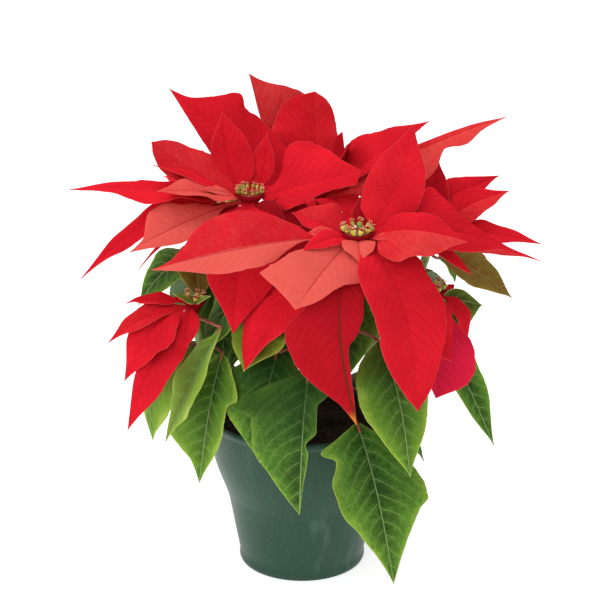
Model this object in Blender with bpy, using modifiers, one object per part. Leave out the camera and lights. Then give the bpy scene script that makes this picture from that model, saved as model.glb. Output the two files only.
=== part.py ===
# Poinsettia in its plastic pot: one branched plant with seven flower heads.
# Lengths in the tables are in millimetres. X is to the right of the front, Y to the back, Z up from the table.
import math

import bmesh
import bpy
from mathutils import Vector
from mathutils.bvhtree import BVHTree

MM = 0.001
UP = Vector((0, 0, 1))

# Pot, a thin turned plastic one with a flared shoulder under a plain collar
POT_HEIGHT = 140
POT_WALL = 2.0
POT_FLOOR = 3.0
POT_STEPS = 32
POT_OUTSIDE = ((82.4, 140), (83.2, 138), (81.4, 134), (78.5, 112), (74.6, 93), (67.0, 71), (63.6, 60),
               (54.0, 7), (54.5, 4), (53.4, 0))

# Soil, with the one plain hole that the trunk stands in
SOIL_TOP = 122
SOIL_GAP = 0.3
SOIL_RINGS = (0.32, 0.62, 1.0)
SOIL_RELIEF = 1.6

# Trunk and branches
TRUNK_AT = (0, 8)
TRUNK_RADIUS = 6.0
TRUNK_FOOT = 66
TRUNK_TOP = 158
BRANCH_RADIUS = 3.4
TOUCH_GAP = 0.3

# Flower heads: the middle of each ring of cyathia, and the size of that ring
HEADS = {
    "front_right": {"at": (44, -55, 316), "ring": 11.0},
    "front_left": {"at": (-43, 10, 329), "ring": 9.5},
    "back": {"at": (15, 84, 308), "ring": 4.0},
    "right": {"at": (106, 40, 286), "ring": 6.5},
    "low_left": {"at": (-88, -36, 252), "ring": 6.0},
    "low_right": {"at": (112, 6, 246), "ring": 6.0},
    "back_left": {"at": (-66, 92, 296), "ring": 6.5},
}
HUB_DEPTH = 11.0
HUB_DROP = 3.4
HUB_FOOT_RADIUS = 5.0
HUB_SPREAD = 3.2
BUD_RADIUS = 2.7
BUD_SHARE = 0.42

# Blades
BLADE_THICKNESS = 0.8
BLADE_ROOM = 1.2
BRACTS_MEET = 0.42
LEAVES_MEET = 0.12
LOW_ROOT_OUT = 3.0
LOW_ROOT_DROP = 8.0
HIGH_ROOT_OUT = 0.8
HIGH_ROOT_DROP = 6.2
HIGH_ROOT_RISE = -0.15
BOW_LEVEL = 0.08
BOW_PER_DEGREE = -0.0024
BOW_LEAD = 0.3
WAVES = 2.2
SIDES_OUT_OF_STEP = 0.9

# How a blade may be raised or turned in degrees, least first, and then shortened, until it clears the others
TRIES = sorted(
    ((rise * 2.5, turn * 3.0) for rise in range(-9, 10) for turn in range(-7, 8)),
    key=lambda pair: (round(math.hypot(*pair), 3), pair),
)
TRY_LENGTHS = (1.0, 0.9, 0.8)

# Edges of a blade from root to tip: how far along, and how far out as a share of the half width
EDGES = {
    "plain": ((0, 0.09), (0.1, 0.16), (0.26, 0.72), (0.46, 1.0), (0.68, 0.78), (0.88, 0.26), (1, 0)),
    "broad": ((0, 0.08), (0.07, 0.2), (0.19, 0.78), (0.4, 1.0), (0.64, 0.84), (0.87, 0.3), (1, 0)),
    "smooth": ((0, 0.08), (0.08, 0.16), (0.2, 0.62), (0.34, 0.94), (0.5, 1.0), (0.64, 0.84), (0.8, 0.46),
               (0.91, 0.2), (1, 0)),
    "lobed": ((0, 0.08), (0.08, 0.16), (0.24, 0.6), (0.4, 0.78), (0.56, 1.0), (0.62, 0.66), (0.78, 0.42),
              (0.91, 0.16), (1, 0)),
    "tapered": ((0, 0.09), (0.1, 0.16), (0.26, 0.7), (0.44, 1.0), (0.66, 0.5), (0.86, 0.16), (1, 0)),
    "full": ((0, 0.1), (0.1, 0.4), (0.24, 0.86), (0.46, 1.0), (0.72, 0.82), (0.9, 0.42), (1, 0)),
    "blunt": ((0, 0.1), (0.1, 0.3), (0.26, 0.7), (0.5, 1.0), (0.76, 0.86), (0.91, 0.55), (1, 0)),
    "spade": ((0, 0.08), (0.12, 0.16), (0.3, 0.5), (0.5, 0.86), (0.7, 1.0), (0.87, 0.6), (1, 0)),
    "hooked": ((0, 0.08), (0.2, 0.26), (0.45, 0.62), (0.7, 0.8), (0.87, 1.0), (0.93, 0.5), (1, 0)),
    "round": ((0, 0.08), (0.2, 0.26), (0.42, 0.7), (0.6, 0.95), (0.75, 1.0), (0.9, 0.77), (1, 0)),
    "flared": ((0, 0.08), (0.2, 0.3), (0.42, 0.7), (0.64, 1.0), (0.78, 0.71), (0.9, 0.27), (1, 0)),
    "rising": ((0, 0.08), (0.08, 0.16), (0.22, 0.84), (0.38, 1.0), (0.6, 0.76), (0.85, 0.26), (1, 0)),
    "cupped": ((0, 0.1), (0.12, 0.34), (0.32, 0.8), (0.58, 1.0), (0.79, 0.86), (0.93, 0.64), (1, 0)),
    "leaning": ((0, 0.06), (0.15, 0.1), (0.24, 0.5), (0.38, 0.8), (0.6, 1.0), (0.71, 0.84), (0.82, 0.36),
                (0.9, 0.1), (1, 0)),
    "belly": ((0, 0.05), (0.2, 0.08), (0.32, 0.43), (0.4, 0.8), (0.52, 1.0), (0.64, 0.93), (0.8, 0.56),
              (0.92, 0.24), (1, 0)),
    "lip": ((0, 0.1), (0.06, 0.3), (0.14, 0.7), (0.27, 1.0), (0.42, 0.9), (0.61, 0.62), (0.75, 0.62),
            (0.93, 0.62), (1, 0)),
    "shelf": ((0, 0.1), (0.1, 0.16), (0.2, 0.34), (0.3, 0.9), (0.5, 0.95), (0.69, 0.68), (0.85, 0.29),
              (0.94, 0.12), (1, 0)),
    "slipped": ((0, 0.08), (0.15, 0.2), (0.4, 0.62), (0.52, 0.98), (0.62, 0.93), (0.72, 0.8), (0.8, 0.58),
                (0.9, 0.2), (1, 0)),
    "cut": ((0, 0.1), (0.14, 0.45), (0.27, 0.93), (0.42, 0.95), (0.53, 0.7), (0.6, 0.3), (0.75, 0.22),
            (0.9, 0.12), (1, 0)),
    "stepped": ((0, 0.08), (0.18, 0.4), (0.4, 0.88), (0.58, 0.95), (0.64, 0.72), (0.69, 0.27), (0.81, 0.41),
                (0.89, 0.16), (1, 0)),
    "strip": ((0, 0.3), (0.18, 0.8), (0.4, 1.0), (0.58, 1.0), (0.64, 1.0), (0.69, 1.0), (0.81, 0.8), (0.89, 0.5),
              (1, 0)),
    "square": ((0, 0.08), (0.24, 0.14), (0.38, 0.56), (0.47, 0.64), (0.54, 0.94), (0.68, 1.0), (0.76, 0.7),
               (0.88, 0.14), (1, 0)),
    "raised": ((0, 0.06), (0.16, 0.12), (0.3, 0.56), (0.45, 1.0), (0.54, 0.72), (0.63, 0.42), (0.8, 0.18),
               (0.91, 0.07), (1, 0)),
    "hipped": ((0, 0.06), (0.12, 0.34), (0.3, 0.66), (0.45, 0.84), (0.58, 0.95), (0.67, 1.0), (0.77, 0.64),
               (0.84, 0.3), (1, 0)),
    "notched": ((0, 0.06), (0.04, 0.34), (0.14, 0.7), (0.27, 1.0), (0.33, 0.72), (0.54, 0.68), (0.74, 0.41),
                (0.9, 0.17), (1, 0)),
    "jagged": ((0, 0.06), (0.05, 0.5), (0.13, 1.0), (0.22, 0.56), (0.4, 0.62), (0.5, 0.16), (0.56, 0.3),
               (0.8, 0.13), (1, 0)),
    "eared": ((0, 0.1), (0.14, 0.4), (0.29, 0.87), (0.39, 1.0), (0.56, 0.7), (0.81, 0.4), (1, 0)),
    "leaf": ((0, 0.06), (0.05, 0.34), (0.15, 0.74), (0.3, 1.0), (0.46, 0.96), (0.62, 0.78), (0.8, 0.42),
             (0.92, 0.14), (1, 0)),
    "shouldered": ((0, 0.08), (0.12, 0.3), (0.3, 0.68), (0.5, 0.86), (0.59, 0.79), (0.66, 1.0), (0.78, 0.55),
                   (0.89, 0.14), (1, 0)),
    "winged": ((0, 0.06), (0.06, 0.5), (0.14, 1.0), (0.2, 0.7), (0.36, 0.92), (0.5, 0.9), (0.66, 0.56), (0.86, 0.2),
               (1, 0)),
    "low_lobed": ((0, 0.06), (0.12, 0.42), (0.3, 0.83), (0.44, 1.0), (0.54, 0.98), (0.59, 0.78), (0.72, 0.52),
                  (0.88, 0.2), (1, 0)),
    "short_leaf": ((0, 0.06), (0.08, 0.5), (0.26, 0.98), (0.45, 0.98), (0.66, 0.72), (0.86, 0.3), (1, 0)),
    "short_toothed": ((0, 0.06), (0.1, 0.5), (0.27, 1.0), (0.36, 0.74), (0.6, 0.74), (0.84, 0.3), (1, 0)),
    "toothed": ((0, 0.06), (0.04, 0.34), (0.14, 0.66), (0.31, 1.0), (0.37, 0.7), (0.54, 0.72), (0.74, 0.5),
                (0.9, 0.18), (1, 0)),
}

# Bracts that the front shows, by head: tip, half widths of the two sides, and what departs from a plain bract.
# The first half width is on the left of a bract that points to the front.
FRONT_BRACTS = {
    "front_right": (
        {"tip": (90, -132, 191), "half": (32, 34), "edges": ("full", "full"), "bow": 0.2},
        {"tip": (43, -122, 175), "half": (44, 20), "edges": ("slipped", "cut"), "bow": 0.17, "sway": 0.095},
        {"tip": (-5, -128, 274), "half": (40, 30), "edges": ("hooked", "eared"), "roll": 25, "bow": 0.05},
        {"tip": (-116, -105, 299), "half": (34, 23), "roll": 36, "edges": ("leaning", "belly"), "bow": 0.03},
        {"tip": (-47, -95, 212), "half": (31, 30), "roll": 6, "edges": ("blunt", "broad"), "bow": 0.07},
        {"tip": (128, -88, 316), "half": (33, 17), "roll": -35, "edges": ("broad", "broad"), "bow": 0.1},
        {"tip": (89, -18, 391), "half": 24, "roll": -35, "edges": ("broad", "broad"), "bow": -0.09},
        {"tip": (119, -92, 218), "half": (24, 35), "roll": -8, "edges": ("blunt", "full"), "bow": 0.03},
        {"tip": (172, -42, 294), "half": (27, 42), "roll": -30, "edges": ("smooth", "raised"), "bow": 0.1},
        {"tip": (45, -93, 300), "half": 13.5, "edges": ("broad", "broad"), "bow": 0.1},
        {"tip": (2, -62, 314), "half": 8, "roll": 20},
        {"tip": (-3, -80, 303), "half": 10, "roll": 25},
        {"tip": (74, -76, 314), "half": 6, "roll": -15},
        {"tip": (138, -50, 282), "half": 16, "roll": -10, "edges": ("blunt", "blunt")},
        {"tip": (-8, -33, 322), "half": (22, 12), "roll": 25, "edges": ("broad", "broad"), "bow": 0.03},
    ),
    "front_left": (
        {"tip": (-135, -78, 305), "half": (24, 20), "roll": 28, "edges": ("square", "belly"), "bow": 0.03},
        {"tip": (48, -10, 351), "half": (21, 39), "roll": -48, "edges": ("lip", "shelf"), "bow": 0.02},
        {"tip": (-66, 34, 389), "half": (21, 14), "roll": 38, "edges": ("broad", "broad"), "bow": -0.1},
        {"tip": (-124, 20, 367), "half": (21, 23), "roll": 30, "edges": ("full", "blunt"), "bow": -0.02},
        {"tip": (-189, -10, 337), "half": (20, 25), "roll": 5, "edges": ("lobed", "smooth"), "bow": 0.02},
        {"tip": (-115, -42, 343), "half": 20, "roll": 10, "edges": ("broad", "broad"), "bow": 0.04},
        {"tip": (-181, -30, 265), "half": (20, 24), "roll": 6, "bow": 0.13},
        {"tip": (-29, 38, 370), "half": (9, 12), "roll": -20, "bow": -0.1},
        {"tip": (-55, -78, 236), "half": (30, 38), "roll": 4, "edges": ("broad", "broad"), "bow": 0.1},
        {"tip": (-84, -26, 338), "half": 7, "roll": 20, "bow": 0.05},
        {"tip": (-123, -5, 349), "half": 9, "roll": 8},
        {"tip": (-133, -40, 278), "half": 6, "bow": 0.1},
    ),
    "back": (
        {"tip": (11, 112, 388), "half": (20, 38), "roll": 8, "edges": ("blunt", "cupped"), "bow": -0.1},
        {"tip": (-46, 128, 400), "half": (42, 5), "roll": 25, "edges": ("flared", "plain"), "bow": -0.1},
        {"tip": (-113, 90, 396), "half": (36, 28), "roll": 50, "edges": ("shouldered", "smooth"), "bow": -0.02},
        {"tip": (164, 0, 394), "half": (31, 5), "roll": -50, "edges": ("stepped", "strip"), "bow": 0.02},
        {"tip": (105, 30, 382), "half": (12, 25), "roll": -50, "edges": ("broad", "rising"), "bow": 0.02},
        {"tip": (42, 60, 358), "half": 14, "roll": -20, "edges": ("broad", "broad"), "bow": 0.0},
    ),
    "right": (
        {"tip": (198, 0, 272), "half": (19, 14), "roll": -10, "edges": ("tapered", "tapered"), "bow": 0.01},
        {"tip": (203, 34, 274), "half": 17, "roll": -12, "bow": 0.07},
        {"tip": (177, 62, 313), "half": 17.5, "roll": -27, "bow": 0.1},
        {"tip": (173, 90, 320), "half": (10, 20), "roll": -24, "bow": 0.13},
    ),
    "low_left": (
        {"tip": (-140, -96, 159), "half": (11, 23), "roll": 18, "edges": ("broad", "broad"), "bow": 0.1},
        {"tip": (-157, -62, 222), "half": (16, 12), "roll": 12, "bow": 0.09},
        {"tip": (-145, -76, 196), "half": (12, 26), "roll": 14},
        {"tip": (-144, -36, 248), "half": 10, "roll": 10, "bow": 0.05},
        {"tip": (-97, -74, 214), "half": 12},
    ),
    "low_right": (
        {"tip": (110, -56, 171), "half": (24, 32), "edges": ("broad", "round"), "bow": 0.18},
    ),
    "back_left": (),
}

# The other bracts, by head: degrees round from +X, degrees of rise, length and half width
REAR_BRACTS = {
    "front_right": ((112, 4, 56, 20), (68, 6, 62, 18)),
    "front_left": ((112, 8, 72, 17), (150, 2, 88, 18), (80, -12, 60, 16)),
    "back": ((-104, -18, 62, 22), (-58, -20, 62, 20), (168, 8, 84, 20), (136, -4, 106, 22), (108, 4, 118, 23),
             (78, -8, 122, 24), (48, 2, 112, 22), (20, -14, 96, 20)),
    "right": ((78, 6, 98, 21), (50, -14, 108, 22), (112, -10, 92, 20), (20, -30, 70, 17)),
    "low_left": ((140, -26, 56, 15),),
    "low_right": ((-30, -52, 50, 13), (78, -36, 60, 15)),
    "back_left": ((178, -4, 70, 18), (150, -16, 94, 22), (122, 0, 118, 23), (94, -18, 122, 24), (66, -4, 108, 22),
                  (200, -28, 76, 18), (40, -26, 84, 18), (136, 24, 74, 16)),
}

# Green leaves that the front shows: root of the blade, tip, half widths, and what departs from a plain leaf
FRONT_LEAVES = (
    {"root": (44, -98, 166), "tip": (73, -152, 51), "half": (41, 43), "edges": ("winged", "low_lobed"), "bow": 0.05},
    {"root": (5, -88, 204), "tip": (-2, -126, 99), "half": (58, 18), "edges": ("notched", "jagged"), "bow": 0.08},
    {"root": (62, -72, 226), "tip": (86, -120, 129), "half": (36, 27), "bow": 0.1},
    {"root": (-65, -66, 236), "tip": (-111, -84, 143.5), "half": (24, 19), "edges": ("smooth", "hipped"), "bow": 0.02},
    {"root": (-65, -54, 209), "tip": (-84, -80, 105), "half": (31, 20), "edges": ("hipped", "toothed"), "bow": 0.04},
    {"root": (-26, -56, 246), "tip": (-47, -86, 206), "half": (26, 30), "bow": 0.04, "branch": "front_right"},
    {"root": (-20, -62, 212), "tip": (-34, -100, 132), "half": 38, "edges": ("leaf", "toothed"), "bow": 0.08},
    {"root": (-84, -20, 206), "tip": (-126, -34, 122), "half": (18, 32), "edges": ("toothed", "leaf"), "roll": 35},
    {"root": (-84, 14, 268), "tip": (-137, -2, 232), "half": 22, "roll": 20},
    {"root": (116, -14, 279), "tip": (174, -10, 244), "half": (18, 21), "roll": -30, "bow": 0.05, "branch": "right"},
    {"root": (118, 0, 204), "tip": (163, -22, 112), "half": (14, 16), "roll": -30, "bow": 0.02},
    {"root": (122, 30, 228), "tip": (155, 40, 217), "half": (28, 10), "roll": -55, "bow": 0.0, "branch": "right"},
    {"root": (66, -70, 160), "tip": (100, -84, 127), "half": 13, "bow": 0.1},
    {"root": (-92, 10, 284), "tip": (-84, -24, 243), "half": 17, "edges": ("short_leaf", "short_leaf"), "bow": 0.05},
    {"root": (-80, 24, 246), "tip": (-66, 4, 172), "half": 26, "edges": ("short_leaf", "short_leaf"), "bow": 0.1},
    {"root": (-30, -25, 266), "tip": (-70, -45, 192), "half": 28, "edges": ("short_leaf", "short_leaf"), "bow": 0.1},
    {"root": (2, -18, 262), "tip": (-20, -52, 180), "half": 30, "edges": ("short_leaf", "short_leaf"), "bow": 0.1},
    {"root": (44, -8, 258), "tip": (34, -56, 184), "half": 28, "edges": ("short_leaf", "short_leaf"), "bow": 0.1},
)

# The other leaves: degrees round from +X, distance out and height of the root, rise, length and half width
REAR_LEAVES = (
    (14, 92, 208, -52, 98, 30), (38, 84, 246, -34, 104, 32), (62, 88, 202, -58, 112, 34), (86, 84, 240, -40, 112, 34),
    (108, 88, 200, -60, 116, 35), (132, 84, 240, -38, 108, 33), (154, 86, 206, -58, 108, 32), (176, 84, 232, -44, 92, 28),
    (100, 70, 172, -42, 84, 27), (46, 70, 170, -44, 84, 27), (150, 68, 170, -46, 80, 26),
)
PETIOLE_RADIUS = 1.5
PETIOLE_ROOM = 0.4
PETIOLE_LIFTS = (9, 0, 18, -9, 27)
PETIOLE_SIDES = (0, 10, -10, 20, -20)

COLOURS = {
    "pot_green": ((0.035, 0.115, 0.08), 0.38),
    "soil": ((0.018, 0.013, 0.010), 0.95),
    "leaf_green": ((0.030, 0.105, 0.022), 0.5),
    "bract_red": ((0.58, 0.012, 0.018), 0.5),
    "cyathia": ((0.42, 0.36, 0.07), 0.5),
}


def clear_scene():
    for leftover in list(bpy.data.objects):
        bpy.data.objects.remove(leftover, do_unlink=True)


def new_collection(name):
    group = bpy.data.collections.new(name)
    bpy.context.scene.collection.children.link(group)
    return group


def material(name):
    colour, roughness = COLOURS[name]
    finish = bpy.data.materials.get(name)
    if finish is None:
        finish = bpy.data.materials.new(name)
        finish.use_nodes = True
        shader = finish.node_tree.nodes["Principled BSDF"]
        shader.inputs["Base Color"].default_value = (*colour, 1)
        shader.inputs["Roughness"].default_value = roughness
    return finish


def new_object(name, mesh, group):
    thing = bpy.data.objects.new(name, mesh)
    group.objects.link(thing)
    return thing


def mesh_from(bm, name):
    mesh = bpy.data.meshes.new(name)
    bm.to_mesh(mesh)
    bm.free()
    return mesh


def settled_mesh(thing):
    """The object's mesh with its modifiers applied, in world space."""
    bpy.context.view_layer.update()
    evaluated = thing.evaluated_get(bpy.context.evaluated_depsgraph_get())
    mesh = bpy.data.meshes.new_from_object(evaluated)
    mesh.transform(thing.matrix_world)
    return mesh


def remove(things):
    for thing in list(things):
        bpy.data.objects.remove(thing, do_unlink=True)


class Blade:
    """A bract or a leaf: a thin sheet along a bowed line from its root to its tip."""

    def __init__(self, root, tip, half, edges=("plain", "plain"), roll=0, bow=None, fold=0.1, wave=0.1, phase=0.0,
                 branch=None, sway=0):
        self.root = Vector(root) * MM
        self.tip = Vector(tip) * MM
        self.half = tuple(value * MM for value in (half if isinstance(half, tuple) else (half, half)))
        self.edges = edges
        self.roll = math.radians(roll)
        self.bow = bow
        self.fold = fold
        self.wave = wave
        self.phase = phase
        self.branch = branch
        self.sway = sway

    def turned(self, rise, turn, length):
        """The same blade with its tip raised and turned about its root, by angles in degrees."""
        reach = self.tip - self.root
        level = math.hypot(reach.x, reach.y)
        tilt = math.atan2(reach.z, level) + math.radians(rise)
        way = math.atan2(reach.y, reach.x) + math.radians(turn)
        reach = Vector((math.cos(tilt) * math.cos(way), math.cos(tilt) * math.sin(way), math.sin(tilt)))
        moved = Blade((0, 0, 0), (0, 0, 0), 0)
        moved.__dict__.update(self.__dict__)
        moved.tip = self.root + reach * (self.tip - self.root).length * length
        return moved

    def point(self, along, out):
        """The point a share along the blade and a signed distance out from its midrib."""
        reach = self.tip - self.root
        way = reach.normalized()
        face = (UP - way * way.z).normalized()
        across = way.cross(face)
        bow = self.bow
        if bow is None:
            bow = BOW_LEVEL + BOW_PER_DEGREE * math.degrees(math.asin(way.z))
        hump = 4 * along * (1 - along) * (1 + BOW_LEAD * (1 - 2 * along))
        spine = self.root + reach * along + (face * bow + across * self.sway) * (reach.length * hump)
        outward = across * math.cos(self.roll) + face * math.sin(self.roll)
        above = face * math.cos(self.roll) - across * math.sin(self.roll)
        ripple = self.wave * math.sin(math.tau * (WAVES * along + self.phase) + (SIDES_OUT_OF_STEP if out > 0 else 0))
        return spine + outward * out + above * (abs(out) * (self.fold + ripple))

    def sheet(self):
        """The blade as one open sheet of triangles, three points wide and closed at its tip."""
        left, right = (EDGES[name] for name in self.edges)
        bm = bmesh.new()
        rows = len(left) - 1
        bmesh.ops.create_grid(bm, x_segments=2, y_segments=rows, size=1)
        for vert in bm.verts:
            row = round((vert.co.y + 1) / 2 * rows)
            side = round(vert.co.x)
            middle = (left[row][0] + right[row][0]) / 2
            if side == 0:
                vert.co = self.point(min(middle, 1), 0)
            elif side < 0:
                vert.co = self.point(left[row][0], left[row][1] * self.half[0])
            else:
                vert.co = self.point(right[row][0], -right[row][1] * self.half[1])
        bmesh.ops.remove_doubles(bm, verts=bm.verts, dist=1e-5)
        bmesh.ops.triangulate(bm, faces=bm.faces)
        bm.normal_update()
        return bm


def slab_tree(bm, start=0.0, root=None):
    """A search tree of the sheet made thick, so that a near miss counts as a touch."""
    room = BLADE_ROOM * MM
    bm.verts.index_update()
    points = [vert.co + vert.normal * room for vert in bm.verts] + [vert.co - vert.normal * room for vert in bm.verts]
    count = len(bm.verts)
    faces = []
    for face in bm.faces:
        if root is not None and (face.calc_center_median() - root).length < start:
            continue
        corners = [vert.index for vert in face.verts]
        faces.append(corners)
        faces.append([corner + count for corner in reversed(corners)])
    for edge in bm.edges:
        if edge.is_boundary:
            first, second = edge.verts
            if root is None or (first.co - root).length >= start:
                faces.append([first.index, second.index, second.index + count, first.index + count])
    return BVHTree.FromPolygons(points, faces)


def sheet_tree(bm, start=0.0, root=None):
    """A search tree of the sheet, or of the part of it that lies past a distance from the root."""
    points = [vert.co.copy() for vert in bm.verts]
    faces = []
    for face in bm.faces:
        if root is None or (face.calc_center_median() - root).length >= start:
            faces.append([vert.index for vert in face.verts])
    return BVHTree.FromPolygons(points, faces)


class Room:
    """Keeps what has been placed, so that each new blade is bent clear of it."""

    def __init__(self):
        self.held = []

    def add(self, node, whole, outer=None):
        self.held.append((node, whole, outer))

    def add_mesh(self, node, mesh):
        bm = bmesh.new()
        bm.from_mesh(mesh)
        self.add(node, BVHTree.FromBMesh(bm))
        bm.free()

    def clear_of_others(self, node, mesh):
        bm = bmesh.new()
        bm.from_mesh(mesh)
        tree = BVHTree.FromBMesh(bm)
        bm.free()
        return not any(owner != node and tree.overlap(whole) for owner, whole, outer in self.held)

    def blocker(self, node, slab, outer_slab):
        for owner, whole, outer in self.held:
            if owner != node and slab.overlap(whole):
                return owner
            if owner == node and outer is not None and outer_slab.overlap(outer):
                return owner
        return None

    def settle(self, node, blade, own_start):
        """Places the blade, raised or turned by the least that clears what is there, and gives it with its sheet."""
        for length in TRY_LENGTHS:
            for rise, turn in TRIES:
                trial = blade.turned(rise, turn, length)
                bm = trial.sheet()
                slab = slab_tree(bm)
                outer_slab = slab_tree(bm, own_start, trial.root)
                blocker = self.blocker(node, slab, outer_slab)
                if blocker is None:
                    self.add(node, sheet_tree(bm), sheet_tree(bm, own_start, trial.root))
                    return trial, bm
                bm.free()
        return None, None


def blade_object(name, bm, group):
    blade = new_object(name, mesh_from(bm, name), group)
    wall = blade.modifiers.new("thickness", "SOLIDIFY")
    wall.thickness = BLADE_THICKNESS * MM
    wall.offset = 0
    return blade


def tube(name, points, radius, group, sides=1, end_radius=None):
    """A round stem through the points, as a closed mesh."""
    curve = bpy.data.curves.new(name, "CURVE")
    curve.dimensions = "3D"
    curve.bevel_depth = radius * MM
    curve.bevel_resolution = sides
    curve.use_fill_caps = True
    line = curve.splines.new("POLY")
    line.points.add(len(points) - 1)
    for index, place in enumerate(points):
        line.points[index].co = (*(Vector(place) * MM), 1)
        if end_radius is not None:
            line.points[index].radius = 1 + (end_radius / radius - 1) * index / (len(points) - 1)
    stem = new_object(name, curve, group)
    mesh = settled_mesh(stem)
    remove([stem])
    bpy.data.curves.remove(curve)
    bm = bmesh.new()
    bm.from_mesh(mesh)
    bmesh.ops.remove_doubles(bm, verts=bm.verts, dist=1e-6)
    bmesh.ops.recalc_face_normals(bm, faces=bm.faces)
    bm.to_mesh(mesh)
    bm.free()
    return new_object(name, mesh, group)


def bend(start, control, end, count):
    """Points on one smooth bend from start to end, drawn to a control point."""
    start, control, end = Vector(start), Vector(control), Vector(end)
    shares = [index / (count - 1) for index in range(count)]
    return [start * (1 - s) ** 2 + control * 2 * s * (1 - s) + end * s * s for s in shares]


def fuse(name, base, loose, group, finish):
    """Joins the base and every object of the loose collection into one solid."""
    join = base.modifiers.new("join", "BOOLEAN")
    join.operation = "UNION"
    join.operand_type = "COLLECTION"
    join.collection = loose
    join.solver = "EXACT"
    mesh = settled_mesh(base)
    remove(loose.objects)
    remove([base])
    solid = new_object(name, largest_piece(mesh, name), group)
    solid.data.materials.clear()
    solid.data.materials.append(material(finish))
    return solid


def largest_piece(mesh, name):
    """The mesh without the loose scraps and sealed hollows that a join can leave."""
    bm = bmesh.new()
    bm.from_mesh(mesh)
    bmesh.ops.triangulate(bm, faces=bm.faces)
    bmesh.ops.remove_doubles(bm, verts=bm.verts, dist=2e-6)
    bmesh.ops.dissolve_degenerate(bm, edges=bm.edges, dist=2e-6)
    bmesh.ops.triangulate(bm, faces=bm.faces)
    groups = []
    seen = set()
    for vert in bm.verts:
        if vert in seen:
            continue
        seen.add(vert)
        group = [vert]
        for member in group:
            for edge in member.link_edges:
                other = edge.other_vert(member)
                if other not in seen:
                    seen.add(other)
                    group.append(other)
        groups.append(group)
    groups.sort(key=len)
    bmesh.ops.delete(bm, geom=[vert for group in groups[:-1] for vert in group], context="VERTS")
    return mesh_from(bm, name)


def make_pot(parts):
    inside = []
    for radius, height in reversed(POT_OUTSIDE[2:7]):
        inside.append((radius - POT_WALL, height))
    inner_foot = (POT_OUTSIDE[-3][0] - POT_WALL - 1.0, POT_FLOOR)
    profile = [*POT_OUTSIDE, (0, 0), (0, POT_FLOOR), inner_foot, *inside, (80.4, POT_HEIGHT)]
    bm = bmesh.new()
    points = [bm.verts.new((radius * MM, 0, height * MM)) for radius, height in profile]
    for first, second in zip(points, points[1:]):
        bm.edges.new((first, second))
    bm.edges.new((points[-1], points[0]))
    pot = new_object("pot", mesh_from(bm, "pot"), parts)
    turn = pot.modifiers.new("turn", "SCREW")
    turn.steps = turn.render_steps = POT_STEPS
    turn.use_merge_vertices = True
    turn.merge_threshold = 0.00001
    pot.data.materials.append(material("pot_green"))
    return pot


def pot_inner_radius(height):
    """The inside radius of the pot at a height, read along its outside profile."""
    steps = sorted((z, r) for r, z in POT_OUTSIDE[2:8])
    for (low, low_radius), (high, high_radius) in zip(steps, steps[1:]):
        if low <= height <= high:
            share = (height - low) / (high - low)
            return low_radius + (high_radius - low_radius) * share - POT_WALL
    return steps[0][1] - POT_WALL


def make_soil(parts, cutters):
    """Soil from the pot's floor to its uneven top, cut by the trunk's hole."""
    heights = (8, 60, 71, 93, 112, SOIL_TOP)
    side = [(pot_inner_radius(height) - SOIL_GAP - 0.2, height) for height in heights]
    profile = [(0, SOIL_TOP + 2)]
    for share in SOIL_RINGS[:-1]:
        profile.append((side[-1][0] * share, SOIL_TOP + 2 * (1 - share)))
    profile += list(reversed(side))
    profile += [(side[0][0] - 1.5, POT_FLOOR + SOIL_GAP), (0, POT_FLOOR + SOIL_GAP)]
    bm = bmesh.new()
    points = [bm.verts.new((radius * MM, 0, height * MM)) for radius, height in profile]
    for first, second in zip(points, points[1:]):
        bm.edges.new((first, second))
    blank = new_object("soil_blank", mesh_from(bm, "soil_blank"), parts)
    turn = blank.modifiers.new("turn", "SCREW")
    turn.steps = turn.render_steps = POT_STEPS // 2
    turn.use_merge_vertices = True
    turn.merge_threshold = 0.00001
    mesh = settled_mesh(blank)
    remove([blank])
    for vert in mesh.vertices:
        if vert.co.z > (SOIL_TOP - 2) * MM:
            x, y = vert.co.x / MM, vert.co.y / MM
            vert.co.z += SOIL_RELIEF * MM * math.sin(x * 0.13) * math.cos(y * 0.11 + 0.6)
    soil = new_object("soil", mesh, parts)
    bm = bmesh.new()
    bmesh.ops.create_cone(
        bm, cap_ends=True, segments=16, radius1=(TRUNK_RADIUS + 0.5) * MM, radius2=(TRUNK_RADIUS + 0.5) * MM,
        depth=(SOIL_TOP + 20 - TRUNK_FOOT + TOUCH_GAP) * MM,
    )
    cutter = new_object("trunk_hole", mesh_from(bm, "trunk_hole"), cutters)
    cutter.location = (TRUNK_AT[0] * MM, TRUNK_AT[1] * MM, (SOIL_TOP + 20 + TRUNK_FOOT - TOUCH_GAP) / 2 * MM)
    cutter.hide_render = True
    cutter.display_type = "WIRE"
    cut = soil.modifiers.new("trunk_hole", "BOOLEAN")
    cut.operation = "DIFFERENCE"
    cut.object = cutter
    cut.solver = "EXACT"
    soil.data.materials.append(material("soil"))
    return soil


def branch_route(name):
    """The bend of a branch from inside the trunk to straight under its head."""
    x, y, z = HEADS[name]["at"]
    top = z - HUB_DROP - HUB_DEPTH - TOUCH_GAP
    start = (TRUNK_AT[0] + x * 0.02, TRUNK_AT[1] + (y - TRUNK_AT[1]) * 0.02, TRUNK_TOP - 14)
    out = Vector((x * 0.92, y * 0.92, top - 34))
    middle = (x * 0.62, y * 0.62, TRUNK_TOP + (top - TRUNK_TOP) * 0.22)
    route = bend(start, middle, out, 5)
    return [*route, Vector((x, y, top - 9)), Vector((x, y, top))]


def make_stems(loose):
    foot, top = Vector((*TRUNK_AT, TRUNK_FOOT)), Vector((*TRUNK_AT, TRUNK_TOP))
    trunk = tube("trunk", [foot, foot.lerp(top, 0.5), top], TRUNK_RADIUS, bpy.context.scene.collection, 2)
    branches = [tube("branch", branch_route(name), BRANCH_RADIUS, loose, 1) for name in HEADS]
    return trunk, branches


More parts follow.
